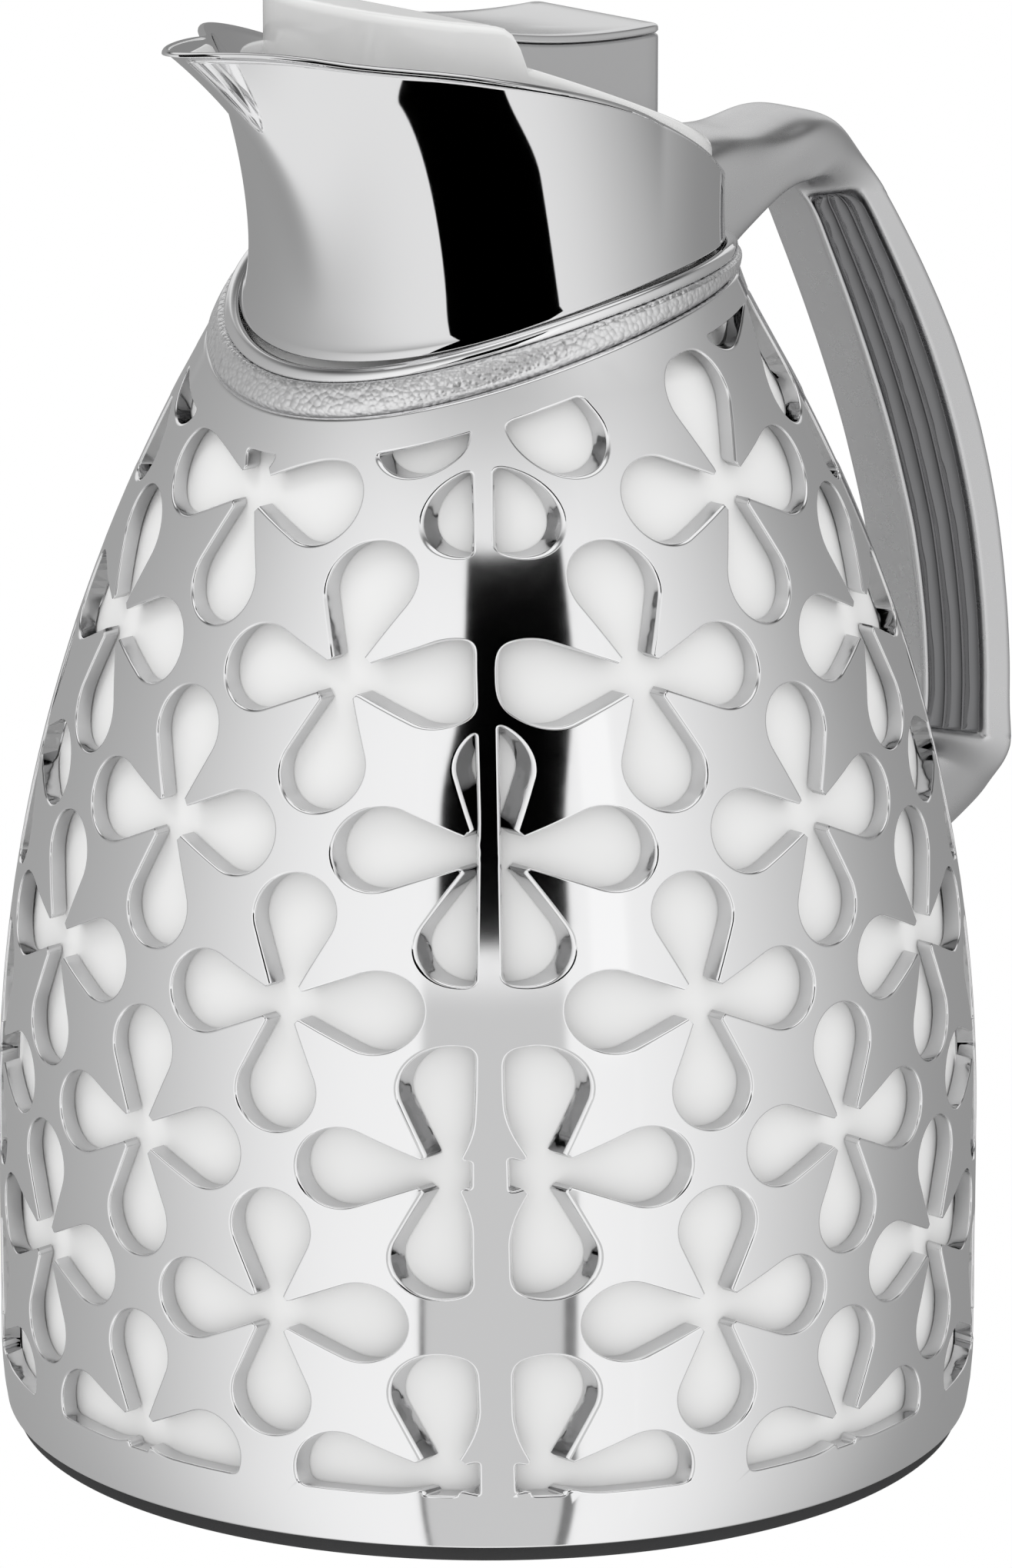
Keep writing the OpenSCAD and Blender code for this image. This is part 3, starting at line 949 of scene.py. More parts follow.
class Kit:
    """Builds the node tree of one material or world."""

    def __init__(self, tree: bpy.types.NodeTree) -> None:
        """Empties the tree."""
        self.tree = tree
        tree.nodes.clear()

    def node(
        self, kind: str, settings: Optional[dict] = None, inputs: Optional[dict] = None, out: object = 0
    ) -> Sock:
        """Adds one node.

        Args:
            kind: The node's type.
            settings: Attributes to set on it.
            inputs: Values or Sock links by input name or number.
            out: Name or number of the output that is returned.

        Returns:
            The chosen output.
        """
        node = self.tree.nodes.new(kind)
        for key, value in (settings or {}).items():
            setattr(node, key, value)
        for key, value in (inputs or {}).items():
            if isinstance(value, Sock):
                self.tree.links.new(value.out, node.inputs[key])
            else:
                node.inputs[key].default_value = value
        return Sock(self, node.outputs[out]) if len(node.outputs) else Sock(self, None)

    def outputs(self, kind: str, inputs: Optional[dict] = None) -> list[Sock]:
        """Adds one node and returns all of its outputs."""
        return [Sock(self, out) for out in self.node(kind, {}, inputs).out.node.outputs]

    def blend(self, factor: object, a: Sequence[float], b: Sequence[float]) -> Sock:
        """Returns a colour between a and b."""
        ins = {0: factor, 6: (*a, 1.0), 7: (*b, 1.0)}
        return self.node("ShaderNodeMix", {"data_type": "RGBA"}, ins, 2)

    def place(self, size: float, stretch: Sequence[float] = (1, 1, 1)) -> Sock:
        """Returns object coordinates in which one unit is size millimetres.

        Args:
            size: Millimetres per unit.
            stretch: How much finer the pattern is along each axis.

        Returns:
            The coordinates.
        """
        coords = self.node("ShaderNodeTexCoord", out="Object")
        scale = [1000.0 / (size * s) for s in stretch]
        return self.node("ShaderNodeMapping", {}, {"Vector": coords, "Scale": scale})

    def noise(self, size: float, detail: float = 2.0, stretch: Sequence[float] = (1, 1, 1)) -> Sock:
        """Returns soft noise from 0 to 1 whose features are size millimetres wide."""
        ins = {"Vector": self.place(size, stretch), "Scale": 1.0, "Detail": detail}
        return self.node("ShaderNodeTexNoise", {}, ins)

    def math(self, operation: str, *values: object) -> Sock:
        """Adds one Math node."""
        return self.node("ShaderNodeMath", {"operation": operation}, dict(enumerate(values)))

    def bump(self, height: Sock, tall: float) -> Sock:
        """Returns the normal of a surface whose height from 0 to 1 stands for tall millimetres."""
        ins = {"Strength": 1.0, "Distance": tall * MM, "Height": height}
        return self.node("ShaderNodeBump", {}, ins)

    def glow(self, level: Sock) -> Sock:
        """Returns a grey glow of a level."""
        colour = self.blend(level, (0, 0, 0), (1, 1, 1))
        return self.node("ShaderNodeEmission", {}, {"Color": colour, "Strength": 1.0})


@dataclass(frozen=True)
class Finish:
    """How one material of the jug looks, in plain numbers.

    Roughness wanders by smudge in patches smudge_size wide, the colour darkens by tint in the
    same patches, scratches that many times finer add wear, and grain and pebbles stand up as
    bump. Heights and sizes are in millimetres; pebble_gap_shade is how dark the painted shade in the
    gaps between the pebbles is. slot is the frame's material slot, where it has another name than the finish.
    """

    colour: tuple
    roughness: float
    metallic: float = 0.0
    smudge: float = 0.06
    smudge_size: float = 28.0
    tint: float = 0.04
    wear: float = 0.03
    grain: float = 0.0
    grain_size: float = 0.6
    stretch: tuple = (1, 1, 1)
    pebble: float = 0.0
    pebble_size: float = 0.9
    # Share of the colour left in the gaps between pebbles: painted shade in the hollows.
    pebble_gap_shade: float = 0.82
    coat: float = 0.0
    coat_roughness: float = 0.08
    scratches: float = 12
    patch_share: float = 0.6
    pebble_soft: float = 0.35
    pebble_flat: float = 1.6
    slot: str = ""

    def build(self, name: str) -> bpy.types.Material:
        """Makes the material.

        Args:
            name: The material's name.

        Returns:
            The new material.
        """
        mat = bpy.data.materials.new(name)
        mat.use_nodes = True
        kit = Kit(mat.node_tree)
        patch = kit.noise(self.smudge_size, 3.0)
        fine = kit.noise(self.smudge_size / self.scratches, 4.0, self.stretch)
        dark = tuple(c * (1 - 3 * self.tint) for c in self.colour)
        colour = kit.blend(patch * self.patch_share, self.colour, dark)
        rough = (patch - 0.5) * (2 * self.smudge) + (fine - 0.5) * (2 * self.wear) + self.roughness
        ins = {"Base Color": colour, "Roughness": rough, "Metallic": self.metallic}
        ins.update({"Coat Weight": self.coat, "Coat Roughness": self.coat_roughness})
        normal = None
        if self.grain:
            grain = kit.noise(self.grain_size, 2.0, self.stretch)
            normal = kit.bump(grain, self.grain)
        if self.pebble:
            spread = {"Vector": kit.place(self.pebble_size), "Scale": 1.0, "Smoothness": self.pebble_soft}
            cells = kit.node("ShaderNodeTexVoronoi", {"feature": "SMOOTH_F1"}, spread)
            stone = 1 - cells**self.pebble_flat
            normal = kit.bump(stone, self.pebble)
            # Painted shade: the gaps between the pebbles are darkened where the bump is low.
            painted_gap_shade = tuple(c * self.pebble_gap_shade for c in self.colour)
            ins["Base Color"] = kit.blend(stone, painted_gap_shade, self.colour)
        if normal:
            ins["Normal"] = normal
        shader = kit.node("ShaderNodeBsdfPrincipled", {}, ins)
        kit.node("ShaderNodeOutputMaterial", {}, {"Surface": shader})
        return mat


def grey(level: float, blue: float = 0.005) -> tuple:
    """Returns a grey with a little more or less blue."""
    return (level, level, level + blue)


METAL = 1.0


class Look(Enum):
    """The jug's finishes. Those without a slot of their own stand in the slot that they name."""

    CHROME = Finish(grey(0.93), 0.03, METAL, smudge=0.02, tint=0.008, wear=0.012)
    CASING_CHROME = Finish(
        grey(0.93), 0.07, METAL, 0.025, tint=0.01, wear=0.015, grain=0.004, grain_size=9.0, slot="chrome"
    )
    # A darker copy of the casing chrome for the openings' walls: painted shade standing in for their dark
    # reflections.
    CASING_WALL = Finish(
        grey(0.66), 0.08, METAL, 0.03, tint=0.02, wear=0.02, grain=0.22, grain_size=6.0, slot="chrome"
    )
    PLATE_CHROME = Finish(
        grey(0.84), 0.17, METAL, 0.03, tint=0.015, wear=0.03, grain=0.003, grain_size=0.6, slot="chrome"
    )
    SATIN_CHROME = Finish(grey(0.72), 0.33, METAL, 0.04, tint=0.02, wear=0.04, grain=0.003, grain_size=0.5)
    HANDLE_SATIN = Finish(
        grey(0.7), 0.28, METAL, 0.04, tint=0.02, wear=0.04, grain=0.003, grain_size=0.5, slot="satin_chrome"
    )
    DARK_CHROME = Finish(
        grey(0.2), 0.1, METAL, 0.03, tint=0.03, wear=0.02, grain=0.45, grain_size=9.0, stretch=(1, 1, 2.6)
    )
    # Its pebble gaps carry painted shade, darkened by the default share.
    PEBBLED_SILVER = Finish(
        grey(0.95), 0.32, METAL, 0.03, tint=0.01, wear=0.03, pebble=0.16, pebble_size=0.85
    )
    WHITE_GLOSS = Finish(
        grey(0.88, -0.005), 0.16, smudge=0.04, tint=0.006, wear=0.02, grain=0.006, grain_size=4.0, coat=0.4
    )
    # A lighter copy of the white gloss: the extra brightness is painted light that offsets the shade inside
    # the casing.
    WHITE_SLEEVE = Finish(
        grey(0.97, -0.005), 0.38, smudge=0.05, tint=0.01, grain=0.004, grain_size=1.2, slot="white_gloss"
    )
    BLACK_RUBBER = Finish(
        grey(0.022, 0.001), 0.55, smudge=0.08, tint=0.1, wear=0.05, grain=0.02, grain_size=0.5
    )
    GREY_PLASTIC = Finish(grey(0.12), 0.5, tint=0.06, wear=0.05, grain=0.015, grain_size=0.4)
    SILICONE = Finish(grey(0.8, -0.02), 0.4, tint=0.03, grain=0.004, grain_size=0.8)
    SILVERED_GLASS = Finish(
        (0.82, 0.83, 0.85), 0.04, METAL, 0.015, tint=0.02, wear=0.01, grain=0.004, grain_size=14.0
    )
    STEEL = Finish(
        grey(0.58, 0.02), 0.26, METAL, 0.05, tint=0.03, wear=0.05, grain=0.004, stretch=(1, 1, 6)
    )


class Palette:
    """Makes each finish's material once and puts it on pieces."""

    def __init__(self) -> None:
        """Starts with no materials."""
        self.made: dict[Look, bpy.types.Material] = {}

    def get(self, look: Look) -> bpy.types.Material:
        """Returns the material of a finish.

        Args:
            look: The finish.

        Returns:
            Its material, made at the first call.
        """
        if look not in self.made:
            self.made[look] = look.value.build("finish_" + look.name.lower())
        return self.made[look]

    def put(self, obj: bpy.types.Object, look: Look) -> None:
        """Gives every face of a piece one finish."""
        obj.data.materials.clear()
        obj.data.materials.append(self.get(look))


PALETTE = Palette()


def refinish(obj: bpy.types.Object, look: Look, faces: Sequence[int]) -> None:
    """Gives some faces of a finished piece another finish of the same kind.

    Args:
        obj: The piece.
        look: The faces' finish.
        faces: The faces' numbers.
    """
    obj.data.materials.append(PALETTE.get(look))
    for k in faces:
        obj.data.polygons[k].material_index = 1


def finished(obj: bpy.types.Object, body: Body, look: Look, *stands_for: str) -> bpy.types.Object:
    """Puts a piece on its body with its finish.

    Args:
        obj: The piece, in the frame's place.
        body: The body that it moves with.
        look: Its finish.
        stands_for: The CAD nodes that it replaces.

    Returns:
        The same piece.
    """
    PALETTE.put(obj, look)
    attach(obj, body.value)
    if stands_for:
        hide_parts(*stands_for)
    LOG.info("%s: on the %s, in %s", obj.name, body.value, look.name.lower())
    return obj


# ---- neck, collar and base -----------------------------------------------


def on_neck(theta: np.ndarray, mix: float, rise: float, out: float) -> np.ndarray:
    """Returns points of the neck between the casing's top edge and the collar's lower edge.

    Args:
        theta: Azimuths.
        mix: 0 at the casing's top edge, 1 at the collar's lower edge.
        rise: Height above that line.
        out: Distance outside the skin.

    Returns:
        The points, as (x, y, z) rows.
    """
    z = rise + height_on_skin(theta, lambda x: (1 - mix) * BAND_ARC.height(x) + mix * LIP_ARC.height(x), 40)
    return polar(SKIN.radius(z) + out, theta, z)


@dataclass
class Neck:
    """The pebbled band and the bright bead between the casing and the collar."""

    proud: float = 0.55
    bevel: float = 1.3
    crown: float = 0.12
    depth: float = 1.8
    lead: float = 0.15
    sunk: float = 0.75
    bead: float = 1.0
    bead_low: float = 1.1
    bead_out: float = 0.9
    bead_in: float = 1.4
    bead_power: float = 0.8

    def band(self) -> bpy.types.Object:
        """Builds the pebbled band.

        Returns:
            The band.
        """
        p, b, d = self.proud, self.bevel, self.depth
        line = [(0, self.lead, -self.sunk), (0, b * 0.55, p - self.sunk)]
        line += [(0, b - 0.15, p - 0.12), (0, b + 0.25, p)]
        for t in np.arange(1, 8) / 8:
            line.append((t, b + 0.25 - (2.5 + b) * t, p + self.crown * math.sin(math.pi * t)))
        line += [(1, -2.55, p), (1, -2.25, p - 0.1), (1, -2.12, p - 0.4), (1, -2.1, -d), (0, self.lead, -d)]
        theta = around()
        return face_out(make_object("pebbled_band", *loft([on_neck(theta, *q) for q in line])))

    def lip(self) -> bpy.types.Object:
        """Builds the bright bead under the collar.

        Returns:
            The bead.
        """
        theta, rings = around(), []
        for a in around(20):
            out, up = (math.copysign(abs(v) ** self.bead_power, v) for v in (math.cos(a), math.sin(a)))
            out = out * (self.bead_out if out > 0 else self.bead_in) - self.sunk
            rings.append(on_neck(theta, 1, self.bead * up - self.bead_low, out))
        return face_out(make_object("lip_bead", *loft(rings)))

    def dress(self) -> None:
        """Adds the band and the bead."""
        finished(self.band(), Body.JUG, Look.PEBBLED_SILVER, "neck_band")
        finished(self.lip(), Body.JUG, Look.CHROME)


@dataclass
class Collar:
    """The mirror-bright collar with its beaked spout."""

    wall: float = 1.6
    inset: float = 1.8
    neck_r: float = 39.5
    spout_x: float = 71.5
    beak_angle: float = 8.5
    beak_power: float = 2.2
    swell: float = 9.5
    swell_power: float = 2.0
    lift: float = 0.08
    lift_from: float = 16.0
    lift_over: float = 26.0
    rim_back: float = 207.0
    rim: Arc = Arc(-76.0, 54.3, 183.3)
    rim_blend: float = 1.5
    rim_drop: float = 0.75
    rim_flat: float = 0.9
    foot_edge: tuple = ((0.55, -0.02), (0.12, 0.1), (0.0, 0.45))
    face: tuple = (0.03, 0.985)
    steps: int = 40
    columns: int = 300
    evenness: float = 0.45
    crowding: float = 2.2
    level_z: float = 186.0
    swell_tip: float = 12.0
    nose_tip: float = 14.0

    def azimuths(self) -> np.ndarray:
        """Returns angles from the spout, closest together at the spout.

        Returns:
            The angles in radians, from -pi.
        """
        t = np.linspace(-1, 1, self.columns, endpoint=False)
        far = self.evenness * np.abs(t) + (1 - self.evenness) * np.abs(t) ** self.crowding
        return math.pi * np.sign(t) * far

    def rim_height(self, x: np.ndarray) -> np.ndarray:
        """Returns the rim's height above x."""
        a = self.rim.height(np.maximum(x, -self.spout_x))
        return smooth_max(a, np.full(np.shape(a), self.rim_back), self.rim_blend)

    def ring(self, t: float, depth: float, lift: float = 0.0) -> np.ndarray:
        """Returns one ring of the collar.

        Args:
            t: 0 at its lower edge, 1 at its rim.
            depth: Distance inside the outer face.
            lift: Extra height.

        Returns:
            The ring's points.
        """
        a = self.azimuths()
        off = np.abs(np.degrees(a))
        swell = self.swell * np.maximum(np.cos(a), 0)
        beak = (self.spout_x - self.neck_r - self.swell) / (1 + (off / self.beak_angle) ** 2)
        x0 = -float(SKIN.radius(self.level_z)) * np.cos(a)
        z0 = LIP_ARC.height(x0)
        flat = self.neck_r + beak + self.swell * np.exp(-((off / self.swell_tip) ** 2))
        raised = self.lift * swell * ease(ramp(off, self.lift_from, self.lift_over))
        z1 = self.rim_height(-flat * np.cos(a)) + raised
        z = z0 + (z1 - z0) * t
        nose = beak + self.inset * np.exp(-((off / self.nose_tip) ** 2))
        r = SKIN.radius(z) - self.inset + nose * t**self.beak_power + swell * t**self.swell_power - depth
        return np.stack([-r * np.cos(a), r * np.sin(a), z + lift], 1)

    def build(self) -> bpy.types.Object:
        """Builds the collar with a rounded rim.

        Returns:
            The collar object.
        """
        h = self.wall / 2
        rings = [self.ring(0, depth, lift) for depth, lift in self.foot_edge]
        ts = np.linspace(*self.face, self.steps)
        rings += [self.ring(t, 0) for t in ts]
        for a in np.linspace(0, math.pi, 9):
            lift = h * math.sin(a) * self.rim_flat - self.rim_drop
            rings.append(self.ring(1, h - h * math.cos(a), lift))
        rings += [self.ring(t, self.wall) for t in ts[::-1]]
        rings += [self.ring(0, self.wall, 0.0)]
        return face_out(make_object("spout_collar", *loft(rings)))

    def dress(self) -> bpy.types.Object:
        """Adds the collar and returns it."""
        return finished(self.build(), Body.JUG, Look.CHROME, "collar")


@dataclass
class Sleeve:
    """The smooth inner casing seen through the flowers."""

    depth: float = 3.3
    wall: float = 2.0
    bottom: float = 6.0
    foot: float = 181.0
    neck: float = 37.0
    top: float = 192.0

    def build(self) -> bpy.types.Object:
        """Builds the sleeve.

        Returns:
            The sleeve.
        """
        z = np.concatenate([np.arange(self.bottom, 60, 3.0), np.arange(60, self.foot, 2.0), [self.foot]])
        skin, neck, top = SKIN.radius(z) - self.depth, self.neck, self.top
        outer = [*zip(skin, z), (neck, self.foot + 3.5), (neck, top - 0.5), (neck - 0.5, top)]
        inner = [(neck - self.wall, top), (neck - self.wall, self.foot + 3)]
        inner += list(zip(skin[::-1] - self.wall, z[::-1] - 0.4))
        return revolve("inner_sleeve", outer + inner, 200)

    def dress(self) -> None:
        """Adds the sleeve, in a lighter copy of the white gloss whose extra brightness is painted light."""
        finished(self.build(), Body.JUG, Look.WHITE_SLEEVE, "inner_casing")


@dataclass
class Base:
    """The foot ring and the moulded base cover with its screws."""

    foot_h: float = 2.6
    cover_r: float = 74.0
    cover_z: float = 3.4
    cover_t: float = 2.4
    cover_edge: float = 0.4
    cover_line: tuple = (
        (0.0, 0.9), (18.0, 0.9), (18.6, 0.3), (21.4, 0.3), (22.0, 0.9), (50.0, 0.9), (51.0, 0.0)
    )
    ring_inner: float = 9
    ring_outer: float = 0.9
    ring_edge: float = 0.5
    grooves: tuple = (6.6, 4.4)
    groove_line: tuple = ((0.0, 0), (0.3, 0.5), (0.7, 0.5), (1.0, 0))

    def cover(self) -> bpy.types.Object:
        """Builds the moulded cover with its stepped underside.

        Returns:
            The cover.
        """
        r, z, top = self.cover_r, self.cover_z, self.cover_z + self.cover_t
        line = [(x, z + up) for x, up in self.cover_line] + [(r, z), (r, top), (0.0, top)]
        return revolve("base_cover_moulded", rounded(line, self.cover_edge, 4), 180)

    def ring(self) -> bpy.types.Object:
        """Builds the black foot ring, with two shallow grooves on its underside.

        Returns:
            The ring.
        """
        r = float(SKIN.radius(np.array([0.0]))[0])
        a, b = self.ring_inner, self.ring_outer
        line = [(a, 0)] + [(groove - x, z) for groove in self.grooves for x, z in self.groove_line]
        line += [(b, 0), (b, self.foot_h), (a, self.foot_h)]
        line = [(r - x, z) for x, z in line]
        return revolve("foot_ring_rubber", rounded(line, self.ring_edge, 4), 200)

    def dress(self) -> None:
        """Adds the foot ring, the cover and its screws."""
        finished(self.ring(), Body.JUG, Look.BLACK_RUBBER, "foot_ring")
        finished(self.cover(), Body.JUG, Look.GREY_PLASTIC, "base_cover")
        screws = RingOfCopies().apply(Screw().build(), PALETTE.get(Look.STEEL))
        finished(screws, Body.JUG, Look.STEEL, "base_screws")


# ---- stopper -------------------------------------------------------------


@dataclass
class Lid:
    """The white cap of the stopper: a hood towards the spout and a roof sloping to the handle."""

    radius: float = 35.8
    floor: float = 201.6
    slot_x0: float = -17.9
    slot_x1: float = 27.1
    slot_w: float = 29.0
    edge: float = 1.6
    slot_edge: float = 0.7
    wall: float = 2.2
    slot_wall: float = 1.8
    ceiling: float = 4.5
    steps: int = 180
    hood_x: float = -22.0
    hood_z: float = 239.5
    hood_slope: float = 0.125
    hood_step: float = 2.2
    hood_from: float = -36.0
    roof_z: float = 222.9
    roof_slope: float = 0.42
    slot_corner: float = 0.5
    slot_step: float = 1.2
    slot_foot: float = 3.0
    foot_edge: float = 0.4
    low_ceiling: float = 1.5
    margin: float = 0.6

    def top(self, x: np.ndarray) -> np.ndarray:
        """Returns the height of the cap's top above x.

        Args:
            x: Distance to the right of the axis.

        Returns:
            A height for each x.
        """
        roof = self.roof_z - self.roof_slope * np.asarray(x, float)
        hood = self.hood_z - self.hood_slope * (np.asarray(x, float) - self.hood_from)
        step = np.clip((self.hood_x + 0.5 - x) / self.hood_step, 0, 1)
        return roof + (hood - roof) * np.sqrt(1 - (1 - step) ** 2)

    def pairs(self, count: int) -> list[tuple[int, int]]:
        """Returns each number of a closed ring with the next one."""
        return [(j, (j + 1) % count) for j in range(count)]

    def sheet(self, points: np.ndarray, rings: Sequence[np.ndarray], loose: np.ndarray) -> list[list[int]]:
        """Fills the space between an outer and an inner ring with triangles, seen from above.

        Args:
            points: Every point of the cap.
            rings: The numbers of the outer ring's and the inner ring's points.
            loose: The numbers of points in between.

        Returns:
            The triangles.
        """
        use = np.concatenate([*rings, loose])
        ends = np.cumsum([0] + [len(r) for r in rings])
        bounds = [list(range(a, b)) for a, b in zip(ends[:-1], ends[1:])]
        res = delaunay_2d_cdt([Vector(points[v, :2]) for v in use], [], bounds, 1, 1e-6)
        return [
            [int(use[res[3][i][0]]) for i in tri] for tri, orig in zip(res[2], res[5]) if list(orig) == [0]
        ]

    def slot_line(self) -> tuple[np.ndarray, np.ndarray]:
        """Returns the lever's slot in plan.

        Returns:
            The slot's outline, and for each of its points the direction out of the slot.
        """
        x0, x1, w = self.slot_x0, self.slot_x1, self.slot_w / 2
        corners = [(x0, -w), (x1, -w), (x1, w), (x0, w)]
        slot = split_sides(rounded(corners, self.slot_corner, 6), self.slot_step)
        side = np.roll(slot, -1, 0) - np.roll(slot, 1, 0)
        return slot, np.stack([side[:, 1], -side[:, 0]], 1) / np.hypot(side[:, 0], side[:, 1])[:, None]

    def loose(self) -> np.ndarray:
        """Returns points in plan that carry the roof, and finer ones down the hood's step.

        Returns:
            The points between the rim and the slot.
        """
        x, y = np.meshgrid(np.arange(-35, 35.1, 1.0), np.arange(-35, 35.1, 1.0))
        x[::2] += 0.5
        fine_x, fine_y = np.meshgrid(np.arange(-24.0, -20.9, 0.25), np.arange(-32, 32.1, 1.0))
        x, y = np.concatenate([x.ravel(), fine_x.ravel()]), np.concatenate([y.ravel(), fine_y.ravel()])
        near = self.slot_edge + self.margin
        in_slot = (x > self.slot_x0 - near) & (x < self.slot_x1 + near)
        in_slot &= np.abs(y) < self.slot_w / 2 + near
        ok = (np.hypot(x, y) < self.radius - self.edge - self.margin) & ~in_slot
        return np.stack([x[ok], y[ok]], 1)

    def build(self) -> bpy.types.Object:
        """Builds the cap as one closed shell with rounded edges round its rim and slot.

        Returns:
            The cap object.
        """
        circle = polar(1.0, around(self.steps), 0.0)[:, :2]
        slot, away = self.slot_line()
        bends = [QUARTER * k / 6 for k in range(7)]
        pts, faces, at = [], [], 0

        def add(xy: np.ndarray, z: np.ndarray) -> np.ndarray:
            """Stores a ring of points and returns their numbers.

            Args:
                xy: The points in plan.
                z: Their heights.

            Returns:
                The points' numbers.
            """
            nonlocal at
            pts.append(np.column_stack([xy, z]))
            at += len(xy)
            return np.arange(at - len(xy), at)

        e, f, slot_foot = self.edge, self.slot_edge, self.floor + self.slot_foot
        rim, hole = [], []
        for s in bends:
            xy = circle * (self.radius - e * (1 - math.sin(s)))
            rim.append(add(xy, self.top(xy[:, 0]) - e * (1 - math.cos(s))))
        for s in bends:
            xy = slot + away * f * (1 - math.sin(s))
            hole.append(add(xy, self.top(xy[:, 0]) - f * (1 - math.cos(s))))
        z_top = pts[len(bends) - 1][:, 2]
        for k in range(1, 5):
            rim.append(add(circle * self.radius, z_top + (self.floor + self.foot_edge - z_top) * k / 4))
        for inward in (self.foot_edge, self.wall):
            rim.append(add(circle * (self.radius - inward), np.full(self.steps, self.floor)))
        hole.append(add(slot, np.full(len(slot), slot_foot)))
        loose = self.loose()
        grid = add(loose, self.top(loose[:, 0]))
        faces += self.sheet(np.vstack(pts), [rim[0], hole[0]], grid)
        for rings in (rim, hole):
            for r0, r1 in zip(rings[:-1], rings[1:]):
                for j, l in self.pairs(len(r0)):
                    quad = (r0[j], r1[j], r1[l], r0[l])
                    faces.append(quad if rings is rim else quad[::-1])
        # underside: from the rim's foot up to a ceiling and down to the slot's foot
        roof = np.maximum(self.top(circle[:, 0] * 33) - self.ceiling, self.floor + self.low_ceiling)
        under = add(circle * (self.radius - self.wall), roof)
        faces += [(rim[-1][j], under[j], under[l], rim[-1][l]) for j, l in self.pairs(self.steps)]
        outside = slot + away * self.slot_wall
        ends = add(outside, np.full(len(slot), slot_foot))
        faces += [(hole[-1][j], hole[-1][l], ends[l], ends[j]) for j, l in self.pairs(len(slot))]
        upper = add(outside, np.maximum(self.top(outside[:, 0]) - self.ceiling, slot_foot + 0.2))
        faces += [(ends[j], ends[l], upper[l], upper[j]) for j, l in self.pairs(len(slot))]
        faces += [face[::-1] for face in self.sheet(np.vstack(pts), [under, upper], np.array([], int))]
        return face_out(make_object("stopper_lid", np.vstack(pts), faces))

    def dress(self) -> None:
        """Adds the cap."""
        finished(self.build(), Body.STOPPER, Look.WHITE_GLOSS, "stopper_cap")


